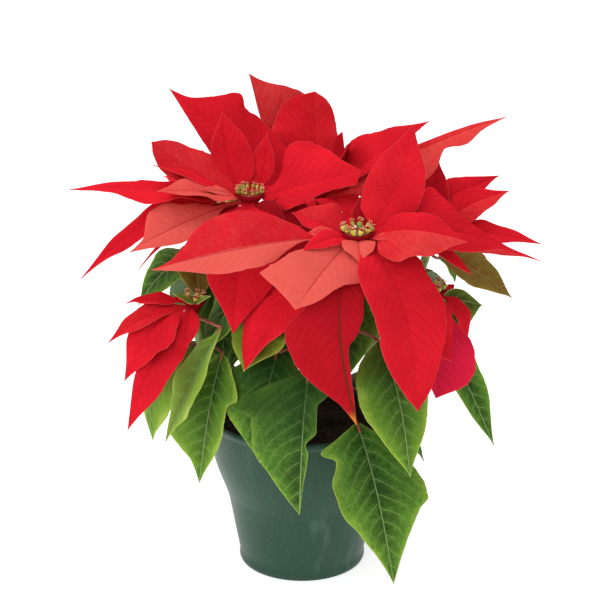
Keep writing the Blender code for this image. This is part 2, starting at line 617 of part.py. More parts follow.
def direction(turn, rise):
    """The way that points so many degrees round from +X, and up by so many degrees."""
    turn, rise = math.radians(turn), math.radians(rise)
    return Vector((math.cos(rise) * math.cos(turn), math.cos(rise) * math.sin(turn), math.sin(rise)))


def root_of(name, tip):
    """Where a bract leaves its head, on the side of its tip: hanging ones low down, the others at the rim."""
    middle = Vector(HEADS[name]["at"])
    reach = Vector(tip) - middle
    way = Vector((reach.x, reach.y, 0)).normalized()
    if reach.normalized().z < HIGH_ROOT_RISE:
        return middle - UP * LOW_ROOT_DROP + way * LOW_ROOT_OUT
    return middle - UP * HIGH_ROOT_DROP + way * (HEADS[name]["ring"] + HIGH_ROOT_OUT)


def front_bracts(name):
    rows = enumerate(FRONT_BRACTS[name])
    return [Blade(root_of(name, row["tip"]), **row, phase=index * 0.37) for index, row in rows]


def rear_bracts(name):
    middle = Vector(HEADS[name]["at"]) - UP * HIGH_ROOT_DROP
    blades = []
    for index, (turn, rise, length, half) in enumerate(REAR_BRACTS[name]):
        tip = middle + direction(turn, rise) * length
        edges = ("broad", "plain") if index % 2 else ("plain", "broad")
        blades.append(Blade(root_of(name, tip), tip, half, edges=edges, phase=index * 0.41))
    return blades


def make_hub(name):
    """The swollen top of the stem that a head's bracts grow from."""
    x, y, z = HEADS[name]["at"]
    bm = bmesh.new()
    bmesh.ops.create_cone(
        bm, cap_ends=True, segments=12, radius1=HUB_FOOT_RADIUS * MM, radius2=(HEADS[name]["ring"] + HUB_SPREAD) * MM,
        depth=HUB_DEPTH * MM,
    )
    hub = new_object("hub_" + name, mesh_from(bm, "hub"), bpy.context.scene.collection)
    hub.location = Vector((x, y, z - HUB_DROP - HUB_DEPTH / 2)) * MM
    return hub


def bud(name, place, radius, height, loose):
    bm = bmesh.new()
    bmesh.ops.create_uvsphere(bm, u_segments=5, v_segments=3, radius=1)
    for vert in bm.verts:
        vert.co = Vector((vert.co.x * radius, vert.co.y * radius, vert.co.z * height)) * MM + Vector(place) * MM
    return new_object(name, mesh_from(bm, name), loose)


def make_cyathia(name, parts, loose):
    """The ring of small cup flowers in the middle of a head, on the disc that they share."""
    x, y, z = HEADS[name]["at"]
    ring = HEADS[name]["ring"]
    bm = bmesh.new()
    bmesh.ops.create_cone(
        bm, cap_ends=True, segments=12, radius1=ring * 0.72 * MM, radius2=ring * 0.95 * MM, depth=2.6 * MM,
    )
    disc = new_object("disc_" + name, mesh_from(bm, "disc"), bpy.context.scene.collection)
    disc.location = Vector((x, y, z - HUB_DROP + TOUCH_GAP + 1.3)) * MM
    size = min(BUD_RADIUS, ring * BUD_SHARE)
    outer = max(5, round(math.tau * ring / (size * 2.9)))
    for index in range(outer):
        turn = math.tau * index / outer
        height = 3.4 + 0.7 * math.sin(index * 2.1)
        place = (x + ring * math.cos(turn), y + ring * math.sin(turn), z + 1.2 + 0.5 * math.sin(index * 1.7))
        bud("bud", place, size, height, loose)
    inner = 1 + outer // 3 if ring > 7 else 1
    for index in range(inner):
        turn = math.tau * (index + 0.5) / inner
        out = ring * 0.45 if inner > 1 else 0
        place = (x + out * math.cos(turn), y + out * math.sin(turn), z + 1.6)
        bud("bud", place, size * 0.95, 4.0, loose)
    return fuse("cyathia_" + name, disc, loose, parts, "cyathia")


def spots_on_branches(place, names):
    """Points of the named branches that a leaf with its blade root at this place could grow from, nearest first."""
    spots = []
    for name in names:
        route = branch_route(name)
        for first, second in zip(route[1:], route[2:]):
            for share in (0.0, 0.25, 0.5, 0.75):
                spot = first.lerp(second, share)
                spots.append(((spot - place).length + max(0, spot.z - place.z) * 1.5, tuple(spot)))
    return [Vector(spot) for gap, spot in sorted(spots)]


def front_leaves():
    plain = {"edges": ("leaf", "leaf"), "fold": 0.06, "wave": 0.07}
    return [Blade(**{**plain, **row}, phase=index * 0.29) for index, row in enumerate(FRONT_LEAVES)]


def rear_leaves():
    blades = []
    for index, (turn, out, height, rise, length, half) in enumerate(REAR_LEAVES):
        root = direction(turn, 0) * out + UP * height
        tip = root + direction(turn, rise) * length
        edges = ("short_toothed", "short_leaf") if index % 2 else ("short_leaf", "short_toothed")
        blades.append(Blade(root, tip, half, edges=edges, fold=0.06, wave=0.07, phase=index * 0.31))
    return blades


def petiole_routes(blade):
    """Bends that the stalk of a leaf can take, from its branch to a little inside its blade."""
    root = blade.root / MM
    inside = blade.point(0.07, 0) / MM
    for spot in spots_on_branches(root, [blade.branch] if blade.branch else HEADS)[:8:2]:
        across = (root - spot).cross(UP).normalized()
        for lift in PETIOLE_LIFTS:
            for side in PETIOLE_SIDES:
                middle = spot.lerp(root, 0.55) + UP * lift + across * side
                yield [*bend(spot, middle, root, 3), inside]


def make_petiole(room, blade, loose):
    """The stalk of a leaf, on the first bend that passes every other piece."""
    for route in petiole_routes(blade):
        stalk = tube("petiole", route, PETIOLE_RADIUS + PETIOLE_ROOM, loose, 0)
        clear = room.clear_of_others("plant", stalk.data)
        remove([stalk])
        if clear:
            break
    stalk = tube("petiole", route, PETIOLE_RADIUS, loose, 0)
    room.add_mesh("plant", stalk.data)


def place_bracts(room, name, blades, loose):
    for blade in blades:
        node = "bracts_" + name
        held, bm = room.settle(node, blade, BRACTS_MEET * (blade.tip - blade.root).length)
        if held:
            blade_object("bract", bm, loose)


def place_leaves(room, blades, loose):
    for blade in blades:
        held, bm = room.settle("plant", blade, LEAVES_MEET * (blade.tip - blade.root).length)
        if held:
            blade_object("leaf", bm, loose)
            make_petiole(room, held, loose)


def build():
    clear_scene()
    parts = new_collection("poinsettia")
    cutters = new_collection("cutters")
    loose = {name: new_collection("loose_" + name) for name in ("plant", *HEADS)}
    room = Room()
    pot = make_pot(parts)
    room.add_mesh("pot", settled_mesh(pot))
    make_soil(parts, cutters)
    trunk, branches = make_stems(loose["plant"])
    for branch in branches:
        room.add_mesh("plant", branch.data)
    hubs = {name: make_hub(name) for name in HEADS}
    for name, hub in hubs.items():
        cyathia = make_cyathia(name, parts, loose[name])
        room.add_mesh("cyathia_" + name, cyathia.data)
        room.add_mesh("bracts_" + name, settled_mesh(hub))
    for name in HEADS:
        place_bracts(room, name, front_bracts(name), loose[name])
    place_leaves(room, front_leaves(), loose["plant"])
    for name in HEADS:
        place_bracts(room, name, rear_bracts(name), loose[name])
    place_leaves(room, rear_leaves(), loose["plant"])
    for name, hub in hubs.items():
        fuse("bracts_" + name, hub, loose[name], parts, "bract_red")
    fuse("plant", trunk, loose["plant"], parts, "leaf_green")


build()
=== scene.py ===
# A potted poinsettia, dressed in fine bracts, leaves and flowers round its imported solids.
# Lengths in the tables are in millimetres. X is to the right of the front, Y to the back and Z up.
import copy
import math
from types import SimpleNamespace
import bmesh
import bpy
import numpy as np
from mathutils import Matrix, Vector
from mathutils.kdtree import KDTree


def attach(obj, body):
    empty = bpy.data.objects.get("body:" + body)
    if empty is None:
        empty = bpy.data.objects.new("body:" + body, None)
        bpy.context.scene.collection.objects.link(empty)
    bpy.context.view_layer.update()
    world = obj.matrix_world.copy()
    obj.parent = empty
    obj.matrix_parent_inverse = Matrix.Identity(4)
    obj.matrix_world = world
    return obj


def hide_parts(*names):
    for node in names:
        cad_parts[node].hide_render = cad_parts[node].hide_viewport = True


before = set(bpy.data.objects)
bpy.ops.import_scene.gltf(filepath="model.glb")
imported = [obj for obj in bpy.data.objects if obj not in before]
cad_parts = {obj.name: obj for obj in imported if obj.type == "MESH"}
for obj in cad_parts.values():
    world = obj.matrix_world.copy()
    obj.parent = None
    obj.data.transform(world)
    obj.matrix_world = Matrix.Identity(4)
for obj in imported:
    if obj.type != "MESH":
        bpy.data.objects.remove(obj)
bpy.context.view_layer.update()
mm = 0.001
scene = bpy.context.scene
print("stage: frame loaded,", len(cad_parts), "nodes")

# where each head is, and the radius of its ring of flowers
heads = {
    "front_right": ((44, -55, 316), 11.0), "front_left": ((-43, 10, 329), 9.5), "back": ((15, 84, 308), 4.0),
    "right": ((106, 40, 286), 6.5), "low_left": ((-88, -36, 252), 6.0), "low_right": ((112, 6, 246), 6.0),
    "back_left": ((-66, 92, 296), 6.5),
}
headRule = {
    "hubDepth": 11.0, "hubDrop": 3.4, "hubSpread": 3.2, "lowRootOut": 3.0, "lowRootDrop": 8.0,
    "highRootOut": 0.8, "highRootDrop": 6.2, "highRootRise": -0.15,
}
bladeRule = {
    "bowLevel": 0.08, "bowPerDegree": -0.0024, "bowLead": 0.3, "waves": 2.2, "sidesOutOfStep": 0.9,
    "crease": 2.0,
}
# how a packed blade may have been raised, turned and shortened, and how near its solid's corners it then lies
packing = {
    "turns": sorted(
        ((rise * 2.5, turn * 3.0) for rise in range(-9, 10) for turn in range(-7, 8)),
        key=lambda pair: (round(math.hypot(*pair), 3), pair),
    ),
    "lengths": (1.0, 0.9, 0.8), "near": 0.6, "edgeNear": 1.2, "checked": (3, 4),
}

# edges of a blade from root to tip, in hundredths: how far along, and how far out towards the half width
edgeForms = {
    "plain": ((0, 9), (10, 16), (26, 72), (46, 100), (68, 78), (88, 26)),
    "broad": ((0, 8), (7, 20), (19, 78), (40, 100), (64, 84), (87, 30)),
    "smooth": ((0, 8), (8, 16), (20, 62), (34, 94), (50, 100), (64, 84), (80, 46), (91, 20)),
    "lobed": ((0, 8), (8, 16), (24, 60), (40, 78), (56, 100), (62, 66), (78, 42), (91, 16)),
    "tapered": ((0, 9), (10, 16), (26, 70), (44, 100), (66, 50), (86, 16)),
    "full": ((0, 10), (10, 40), (24, 86), (46, 100), (72, 82), (90, 42)),
    "blunt": ((0, 10), (10, 30), (26, 70), (50, 100), (76, 86), (91, 55)),
    "hooked": ((0, 8), (20, 26), (45, 62), (70, 80), (87, 100), (93, 50)),
    "round": ((0, 8), (20, 26), (42, 70), (60, 95), (75, 100), (90, 77)),
    "flared": ((0, 8), (20, 30), (42, 70), (64, 100), (78, 71), (90, 27)),
    "rising": ((0, 8), (8, 16), (22, 84), (38, 100), (60, 76), (85, 26)),
    "cupped": ((0, 10), (12, 34), (32, 80), (58, 100), (79, 86), (93, 64)),
    "leaning": ((0, 6), (15, 10), (24, 50), (38, 80), (60, 100), (71, 84), (82, 36), (90, 10)),
    "belly": ((0, 5), (20, 8), (32, 43), (40, 80), (52, 100), (64, 93), (80, 56), (92, 24)),
    "lip": ((0, 10), (6, 30), (14, 70), (27, 100), (42, 90), (61, 62), (75, 62), (93, 62)),
    "shelf": ((0, 10), (10, 16), (20, 34), (30, 90), (50, 95), (69, 68), (85, 29), (94, 12)),
    "slipped": ((0, 8), (15, 20), (40, 62), (52, 98), (62, 93), (72, 80), (80, 58), (90, 20)),
    "cut": ((0, 10), (14, 45), (27, 93), (42, 95), (53, 70), (60, 30), (75, 22), (90, 12)),
    "stepped": ((0, 8), (18, 40), (40, 88), (58, 95), (64, 72), (69, 27), (81, 41), (89, 16)),
    "strip": ((0, 30), (18, 80), (40, 100), (58, 100), (64, 100), (69, 100), (81, 80), (89, 50)),
    "square": ((0, 8), (24, 14), (38, 56), (47, 64), (54, 94), (68, 100), (76, 70), (88, 14)),
    "raised": ((0, 6), (16, 12), (30, 56), (45, 100), (54, 72), (63, 42), (80, 18), (91, 7)),
    "hipped": ((0, 6), (12, 34), (30, 66), (45, 84), (58, 95), (67, 100), (77, 64), (84, 30)),
    "notched": ((0, 6), (4, 34), (14, 70), (27, 100), (33, 72), (54, 68), (74, 41), (90, 17)),
    "jagged": ((0, 6), (5, 50), (13, 100), (22, 56), (40, 62), (50, 16), (56, 30), (80, 13)),
    "eared": ((0, 10), (14, 40), (29, 87), (39, 100), (56, 70), (81, 40)),
    "leaf": ((0, 6), (5, 34), (15, 74), (30, 100), (46, 96), (62, 78), (80, 42), (92, 14)),
    "shouldered": ((0, 8), (12, 30), (30, 68), (50, 86), (59, 79), (66, 100), (78, 55), (89, 14)),
    "winged": ((0, 6), (6, 50), (14, 100), (20, 70), (36, 92), (50, 90), (66, 56), (86, 20)),
    "low_lobed": ((0, 6), (12, 42), (30, 83), (44, 100), (54, 98), (59, 78), (72, 52), (88, 20)),
    "short_leaf": ((0, 6), (8, 50), (26, 98), (45, 98), (66, 72), (86, 30)),
    "short_toothed": ((0, 6), (10, 50), (27, 100), (36, 74), (60, 74), (84, 30)),
    "toothed": ((0, 6), (4, 34), (14, 66), (31, 100), (37, 70), (54, 72), (74, 50), (90, 18)),
}
# Bracts that the front shows, by head: tip, half widths of the two sides, names of their edges, and what
# departs from a plain bract. Roll is in degrees about the blade's line, bow and sway lift and bend that line
# by a share of its length, and fine gives the half widths of the finished bract where they differ. Pale is
# the share of painted sheen, cast of painted shade in a cooler magenta, tint of olive and orange, and dim of
# painted shade in near black, and pale can differ between the sides.
frontBracts = {
    "front_right": (
        ((90, -132, 191), (32, 34), "full", {"bow": 0.2}),
        ((43, -122, 175), (44, 20), "slipped cut", {"bow": 0.17, "sway": 0.095, "tint": 1.0, "dim": 0.3}),
        ((-5, -128, 274), (40, 30), "hooked eared", {"roll": 25, "bow": 0.05, "pale": 1.0}),
        ((-116, -105, 299), (34, 23), "leaning belly", {"roll": 36, "bow": 0.03, "pale": (0.3, 1.0)}),
        ((-47, -95, 212), (31, 30), "blunt broad", {"roll": 6, "bow": 0.07}),
        ((128, -88, 316), (33, 17), "broad", {"roll": -35, "bow": 0.1, "pale": (0.45, 0.05)}),
        ((89, -18, 391), 24, "broad", {"roll": -35, "bow": -0.09, "pale": (0.12, 0.2)}),
        ((119, -92, 218), (24, 35), "blunt full", {"roll": -8, "bow": 0.03}),
        ((172, -42, 294), (27, 42), "smooth raised", {"roll": -30, "bow": 0.1}),
        ((45, -93, 300), 13.5, "broad", {"bow": 0.1, "pale": 0.85}),
        ((2, -62, 314), 8, "plain", {"roll": 20, "pale": 0.6}),
        ((-3, -80, 303), 10, "plain", {"roll": 25}),
        ((74, -76, 314), 6, "plain", {"roll": -15, "pale": 0.5}),
        ((138, -50, 282), 16, "blunt", {"roll": -10}),
        ((-8, -33, 322), (22, 12), "broad", {"roll": 25, "bow": 0.03, "pale": (0.3, 0.2)}),
    ),
    "front_left": (
        ((-135, -78, 305), (24, 20), "square belly", {"roll": 28, "bow": 0.03, "pale": (0.85, 0.9)}),
        ((48, -10, 351), (21, 39), "lip shelf", {"roll": -48, "bow": 0.02, "pale": (0.05, 0.1)}),
        ((-66, 34, 389), (21, 14), "broad", {"roll": 38, "bow": -0.1}),
        ((-124, 20, 367), (21, 23), "full blunt", {"roll": 30, "bow": -0.02, "fine": (22, 23), "pale": (0.35,
         0.25)}),
        ((-189, -10, 337), (20, 25), "lobed smooth", {"roll": 5, "bow": 0.02, "fine": (20, 36),
         "pale": (0.05, 0.12)}),
        ((-115, -42, 343), 20, "broad", {"roll": 10, "bow": 0.04, "pale": 0.7}),
        ((-181, -30, 265), (20, 24), "plain", {"roll": 6, "bow": 0.13}),
        ((-29, 38, 370), (9, 12), "plain", {"roll": -20, "bow": -0.1}),
        ((-55, -78, 236), (30, 38), "broad", {"roll": 4, "bow": 0.1}),
        ((-84, -26, 338), 7, "plain", {"roll": 20, "bow": 0.05, "pale": 0.8}),
        ((-123, -5, 349), 9, "plain", {"roll": 8}),
        ((-133, -40, 278), 6, "plain", {"bow": 0.1}),
    ),
    "back": (
        ((11, 112, 388), (20, 38), "blunt cupped", {"roll": 8, "bow": -0.1, "pale": (0.25, 0.2)}),
        ((-46, 128, 400), (42, 5), "flared plain", {"roll": 25, "bow": -0.1, "fine": (47, 4), "pale": (0.45,
         0.5)}),
        ((-113, 90, 396), (36, 28), "shouldered smooth", {"roll": 50, "bow": -0.02}),
        ((164, 0, 394), (31, 5), "stepped strip", {"roll": -50, "bow": 0.02, "fine": (35, 5), "pale": (0.6,
         0.4)}),
        ((105, 30, 382), (12, 25), "broad rising", {"roll": -50, "bow": 0.02, "fine": (12, 28), "pale": (0.1,
         0.15)}),
        ((42, 60, 358), 14, "broad", {"roll": -20, "bow": 0.0, "fine": (14, 20)}),
    ),
    "right": (
        ((198, 0, 272), (19, 14), "tapered", {"roll": -10, "bow": 0.01, "pale": (0.35, 0.1)}),
        ((203, 34, 274), 17, "plain", {"roll": -12, "bow": 0.07}),
        ((177, 62, 313), 17.5, "plain", {"roll": -27, "bow": 0.1, "pale": (0.35, 0.1)}),
        ((173, 90, 320), (10, 20), "plain", {"roll": -24, "bow": 0.13}),
    ),
    "low_left": (
        ((-140, -96, 159), (11, 23), "broad", {"roll": 18, "bow": 0.1}),
        ((-157, -62, 222), (16, 12), "plain", {"roll": 12, "bow": 0.09, "pale": 0.25}),
        ((-145, -76, 196), (12, 26), "plain", {"roll": 14, "fine": (18, 26)}),
        ((-144, -36, 248), 10, "plain", {"roll": 10, "bow": 0.05}),
        ((-97, -74, 214), 12, "plain"),
    ),
    "low_right": (
        ((110, -56, 171), (24, 32), "broad round", {"bow": 0.18, "cast": 1.0}),
    ),
    "back_left": (),
}
# the other bracts, by head: degrees round from +X, degrees of rise, length and half width
rearBracts = {
    "front_right": ((112, 4, 56, 20), (68, 6, 62, 18)),
    "front_left": ((112, 8, 72, 17), (150, 2, 88, 18), (80, -12, 60, 16)),
    "back": ((-104, -18, 62, 22), (-58, -20, 62, 20), (168, 8, 84, 20), (136, -4, 106, 22), (108, 4, 118, 23),
             (78, -8, 122, 24), (48, 2, 112, 22), (20, -14, 96, 20)),
    "right": ((78, 6, 98, 21), (50, -14, 108, 22), (112, -10, 92, 20), (20, -30, 70, 17)),
    "low_left": ((140, -26, 56, 15),),
    "low_right": ((-30, -52, 50, 13), (78, -36, 60, 15)),
    "back_left": ((178, -4, 70, 18), (150, -16, 94, 22), (122, 0, 118, 23), (94, -18, 122, 24),
                  (66, -4, 108, 22), (200, -28, 76, 18), (40, -26, 84, 18), (136, 24, 74, 16)),
}
# small bracts between the others, in the finished plant alone, which shade the space behind the front ones
# and are darkened by dim with painted shade
innerBracts = {
    "front_left": (
        ((-36, 2, 317), (18, -16, 308), (15, 10), "broad plain", {"roll": -50, "dim": 0.5}),
        ((-44, 0, 316), (-12, -28, 303), 12, "broad", {"roll": -40, "dim": 0.6}),
        ((-48, 4, 316), (-88, -20, 296), (10, 12), "plain", {"roll": 40, "dim": 0.45}),
    ),
    "front_right": (
        ((36, -46, 307), (-28, -44, 292), (10, 18), "broad", {"roll": 45, "dim": 0.55}),
        ((48, -60, 306), (84, -66, 292), 10, "broad", {"roll": -45, "dim": 0.4}),
        ((46, -42, 306), (52, -22, 340), (10, 9), "plain", {"dim": 0.5}),
    ),
    "back": (
        ((17, 86, 300), (34, 92, 357), 15, "blunt", {"dim": 0.3}),
    ),
    "right": (
        ((107, 46, 279), (116, 73, 340), 14, "plain", {"dim": 0.25}),
    ),
}

# green leaves that the front shows: root and tip of the blade, and the rest as for a bract, save that cast is
# a share of fresher, yellower green and dim paints shade towards the root
frontLeaves = (
    ((44, -98, 166), (73, -152, 51), (41, 43), "winged low_lobed", {"bow": 0.05, "cast": 0.12, "dim": 0.25}),
    ((5, -88, 204), (-2, -126, 99), (58, 18), "notched jagged", {"bow": 0.08, "dim": 1.0}),
    ((62, -72, 226), (86, -120, 129), (36, 27), "leaf", {"bow": 0.1, "cast": 0.4, "dim": 0.6}),
    ((-65, -66, 236), (-111, -84, 143.5), (24, 19), "smooth hipped", {"bow": 0.02, "fine": (29, 24),
     "cast": 1.0}),
    ((-65, -54, 209), (-84, -80, 105), (31, 20), "hipped toothed", {"bow": 0.04, "fine": (38, 26),
     "cast": 0.45}),
    ((-26, -56, 246), (-47, -86, 206), (26, 30), "leaf", {"bow": 0.04, "branch": "front_right", "cast": 0.6,
     "tint": 0.25}),
    ((-20, -62, 212), (-34, -100, 132), 38, "leaf toothed", {"bow": 0.08, "dim": 1.0}),
    ((-84, -20, 206), (-126, -34, 122), (18, 32), "toothed leaf", {"roll": 35, "cast": 0.7}),
    ((-84, 14, 268), (-137, -2, 232), 22, "leaf", {"roll": 20}),
    ((116, -14, 279), (174, -10, 244), (18, 21), "leaf", {"roll": -30, "bow": 0.05, "branch": "right",
     "tint": 0.75}),
    ((118, 0, 204), (163, -22, 112), (14, 16), "leaf", {"roll": -30, "bow": 0.02, "fine": (14, 18)}),
    ((122, 30, 228), (155, 40, 217), (28, 10), "leaf", {"roll": -55, "bow": 0.0, "branch": "right",
     "tint": 0.15}),
    ((66, -70, 160), (100, -84, 127), 13, "leaf", {"bow": 0.1}),
    ((-92, 10, 284), (-84, -24, 243), 17, "short_leaf", {"bow": 0.05, "tint": 0.6}),
    ((-80, 24, 246), (-66, 4, 172), 26, "short_leaf", {"bow": 0.1}),
    ((-30, -25, 266), (-70, -45, 192), 28, "short_leaf", {"bow": 0.1}),
    ((2, -18, 262), (-20, -52, 180), 30, "short_leaf", {"bow": 0.1}),
    ((44, -8, 258), (34, -56, 184), 28, "short_leaf", {"bow": 0.1}),
)
# the other leaves: degrees round from +X, distance out and height of the root, rise, length and half width
rearLeaves = (
    (14, 92, 208, -52, 98, 30), (38, 84, 246, -34, 104, 32), (62, 88, 202, -58, 112, 34),
    (86, 84, 240, -40, 112, 34), (108, 88, 200, -60, 116, 35), (132, 84, 240, -38, 108, 33),
    (154, 86, 206, -58, 108, 32), (176, 84, 232, -44, 92, 28), (100, 70, 172, -42, 84, 27),
    (46, 70, 170, -44, 84, 27), (150, 68, 170, -46, 80, 26),
)
# small leaves in the finished plant alone, where gaps let the background through
extraLeaves = (
    ((-87, -48, 250), (-104, -54, 261), 5, "short_leaf", {"roll": 20, "cast": 1.0}),
    ((-86, -48, 250), (-74, -54, 259), (4, 5), "short_leaf", {"roll": -20, "cast": 1.0}),
    ((113, 14, 275), (128, 4, 250), 12, "short_leaf"),
    ((-40, -10, 200), (-64, -22, 172), (10, 9), "short_leaf"),
)


class Blade:
    # a bract or a leaf by the rule of its solid: a thin sheet along a bowed line from root to tip, in metres
    def __init__(self, root, tip, half, edges, roll=0, bow=None, sway=0.0, branch=None, fine=None, pale=0.08,
                 cast=0.0, tint=0.0, dim=0.0, fold=0.1, wave=0.1, phase=0.0):
        self.root, self.tip = np.array(root, float) * mm, np.array(tip, float) * mm
        self.half, self.pale = np.broadcast_to(half, 2) * mm, np.broadcast_to(pale, 2)
        self.edges = edges.split()[0], edges.split()[-1]
        self.roll, self.bow, self.sway, self.branch, self.fine = math.radians(roll), bow, sway, branch, fine
        self.cast, self.tint, self.dim, self.fold, self.wave, self.phase = cast, tint, dim, fold, wave, phase

    def length(self):
        return float(np.linalg.norm(self.tip - self.root))

    def turned(self, rise, turn, length):
        reach = self.tip - self.root
        tilt = math.atan2(reach[2], math.hypot(reach[0], reach[1])) + math.radians(rise)
        moved = copy.copy(self)
        aim = direction(math.atan2(reach[1], reach[0]) + math.radians(turn), tilt)
        moved.tip = self.root + aim * self.length() * length
        return moved

    def axes(self):
        # along the blade, out of its face, and across it, before and after the roll
        way = (self.tip - self.root) / self.length()
        face = np.array((0, 0, 1)) - way * way[2]
        face /= np.linalg.norm(face)
        across = np.cross(way, face)
        outward = across * math.cos(self.roll) + face * math.sin(self.roll)
        above = face * math.cos(self.roll) - across * math.sin(self.roll)
        return way, face, outward, above

    def point(self, along, out, lift=0.0):
        # points at shares along the blade and signed distances out from its midrib, raised by lift
        along, out = np.broadcast_arrays(np.asarray(along, float), np.asarray(out, float))
        way, face, outward, above = self.axes()
        bow = self.bow
        if bow is None:
            bow = bladeRule["bowLevel"] + bladeRule["bowPerDegree"] * math.degrees(math.asin(way[2]))
        hump = 4 * along * (1 - along) * (1 + bladeRule["bowLead"] * (1 - 2 * along))
        step = bladeRule["sidesOutOfStep"] * (out > 0)
        ripple = self.wave * np.sin(math.tau * (bladeRule["waves"] * along + self.phase) + step)
        rise = softened(out) * (self.fold + ripple) + lift
        aside = face * bow + np.cross(way, face) * self.sway
        spine = self.root + (self.tip - self.root) * along[..., None]
        spine = spine + aside * (self.length() * hump)[..., None]
        return spine + outward * out[..., None] + above * rise[..., None]


def softened(out):
    # the distance from the midrib, without the sharp crease there
    crease = bladeRule["crease"] * mm
    return np.sqrt(out * out + crease * crease) - crease


def direction(turn, rise):
    # of length 1, turned from +X and raised by these radians
    return np.array((math.cos(rise) * math.cos(turn), math.cos(rise) * math.sin(turn), math.sin(rise)))


def rootOf(name, tip):
    # hanging bracts leave their head low down, the others at its rim, on the side of their tip
    middle, ring = heads[name]
    reach = np.array(tip, float) - middle
    way = np.array((reach[0], reach[1], 0)) / math.hypot(reach[0], reach[1])
    if reach[2] / np.linalg.norm(reach) < headRule["highRootRise"]:
        return np.array(middle, float) - (0, 0, headRule["lowRootDrop"]) + way * headRule["lowRootOut"]
    return np.array(middle, float) - (0, 0, headRule["highRootDrop"]) + way * (ring + headRule["highRootOut"])


def bractsOf(name):
    blades = [
        Blade(rootOf(name, tip), tip, half, edges, phase=index * 0.37, **dict(*more))
        for index, (tip, half, edges, *more) in enumerate(frontBracts[name])
    ]
    middle = np.array(heads[name][0], float) - (0, 0, headRule["highRootDrop"])
    for index, (turn, rise, length, half) in enumerate(rearBracts[name]):
        tip = middle + direction(math.radians(turn), math.radians(rise)) * length
        edges = "broad plain" if index % 2 else "plain broad"
        blades.append(Blade(rootOf(name, tip), tip, half, edges, phase=index * 0.41))
    return blades


def leavesOfPlant():
    sheet = {"fold": 0.06, "wave": 0.07}
    blades = [
        Blade(root, tip, half, edges, phase=index * 0.29, **sheet, **dict(*more))
        for index, (root, tip, half, edges, *more) in enumerate(frontLeaves)
    ]
    for index, (turn, out, height, rise, length, half) in enumerate(rearLeaves):
        turn = math.radians(turn)
        root = direction(turn, 0) * out + (0, 0, height)
        edges = "short_toothed short_leaf" if index % 2 else "short_leaf short_toothed"
        tip = root + direction(turn, math.radians(rise)) * length
        blades.append(Blade(root, tip, half, edges, phase=index * 0.31, **sheet))
    return blades


def cornersOf(node):
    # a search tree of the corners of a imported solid
    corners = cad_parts[node].data.vertices
    tree = KDTree(len(corners))
    for index, corner in enumerate(corners):
        tree.insert(corner.co, index)
    tree.balance()
    return tree


def asPacked(blade, corners):
    # the blade raised, turned and shortened as its solid was to pass its neighbours, which its corners show
    for length in packing["lengths"]:
        for rise, turn in packing["turns"]:
            trial = blade.turned(rise, turn, length)
            if corners.find(trial.tip)[2] > packing["near"] * mm:
                continue
            near = 0
            for edge, half in zip(trial.edges, trial.half * (1, -1)):
                for along, share in (edgeForms[edge][row] for row in packing["checked"]):
                    spot = trial.point(along / 100, share / 100 * half)
                    near += corners.find(spot)[2] < packing["edgeNear"] * mm
            if near >= 2:
                if trial.fine:
                    trial.half = np.array(trial.fine) * mm
                return trial
    return None


def packedBlades(blades, corners, label):
    # the blades that are found in their solid, each with its place in the list
    found = [(index, asPacked(blade, corners)) for index, blade in enumerate(blades)]
    missing.extend((label, index) for index, blade in found if blade is None)
    return [(index, blade) for index, blade in found if blade]


# how fine the blades are made, in millimetres, and how their faces are worked
bractForm = {
    "rowStep": 2.3, "columns": 9, "thick": 0.44, "rim": 0.45, "veinGap": 9.0, "slant": 0.62, "quilt": 0.6,
    "groove": 0.5, "grooveHalf": 1.3, "swell": 0.045, "ruffle": 0.035, "notch": 0.03, "tipCurl": 2.2,
    "rib": 0.45,
}
leafForm = {
    "rowStep": 2.0, "columns": 12, "thick": 0.44, "rim": 0.4, "veinGap": 11.5, "slant": 0.5, "quilt": 0.5,
    "groove": 0.55, "grooveHalf": 1.2, "swell": 0.03, "ruffle": 0.03, "notch": 0.022, "tipCurl": 1.6,
    "rib": 0.7,
}
# what both share: the fewest and most rows, the least half width, how the columns crowd at the midrib and how
# far out they reach before the rim, the arch and unrest of the veins and how far the sides are out of step,
# the half widths in metres between which the relief grows, the waves of notches and ruffles along an edge,
# and the way to the light that a level face catches, with the shares where that begins and ends
bladeForm = {
    "rows": (16, 70), "least": 0.3, "crowding": 1.35, "reach": 0.97, "rimShare": 0.3, "arch": (0.45, 0.6),
    "unrest": 0.09, "outOfStep": 0.42, "pillow": 0.8, "grows": (0.004, 0.016), "notchWaves": (7, 11, 17, 23),
    "ruffleWaves": (3.4, 5.3, 8.1), "towards": (-0.1, 0.42, 0.9), "levelRange": (0.45, 0.93),
}
# the numbers that a blade keeps at its corners, three to a field
bladeFields = {
    "bladeSpot": ("out", "run", "own"), "bladeVeins": ("phase", "toEdge", "along"),
    "bladeTone": ("tone", "under", "tint"), "bladeLight": ("level", "cast", "share"),
    "bladeShade": ("pale", "dim", "rest"),
}


def edgeShare(name, along):
    # the share of the half width at each place, on a smooth line through the points of the named edge
    place, share = np.array((*edgeForms[name], (100, 0)), float).T / 100
    step = np.diff(place)
    slope = np.diff(share) / step
    tangent = np.concatenate(([slope[0]], np.zeros(len(place) - 2), [slope[-1]]))
    before, after = slope[:-1], slope[1:]
    steady = before * after > 0
    tangent[1:-1][steady] = 2 * before[steady] * after[steady] / (before[steady] + after[steady])
    span = np.clip(np.searchsorted(place, along, "right") - 1, 0, len(step) - 1)
    u = (along - place[span]) / step[span]
    start = share[span] * (1 + 2 * u) * (1 - u) ** 2 + tangent[span] * step[span] * u * (1 - u) ** 2
    return start + share[span + 1] * u * u * (3 - 2 * u) + tangent[span + 1] * step[span] * u * u * (u - 1)


def eased(low, high, value):
    u = np.clip((value - low) / (high - low), 0, 1)
    return u * u * (3 - 2 * u)


def wander(chance, along, waves):
    # a smooth line that wanders between about -1 and 1
    line = np.zeros_like(along)
    for wave in waves:
        line += np.sin(math.tau * (wave * along + chance.random())) * chance.uniform(0.5, 1)
    return line / len(waves)


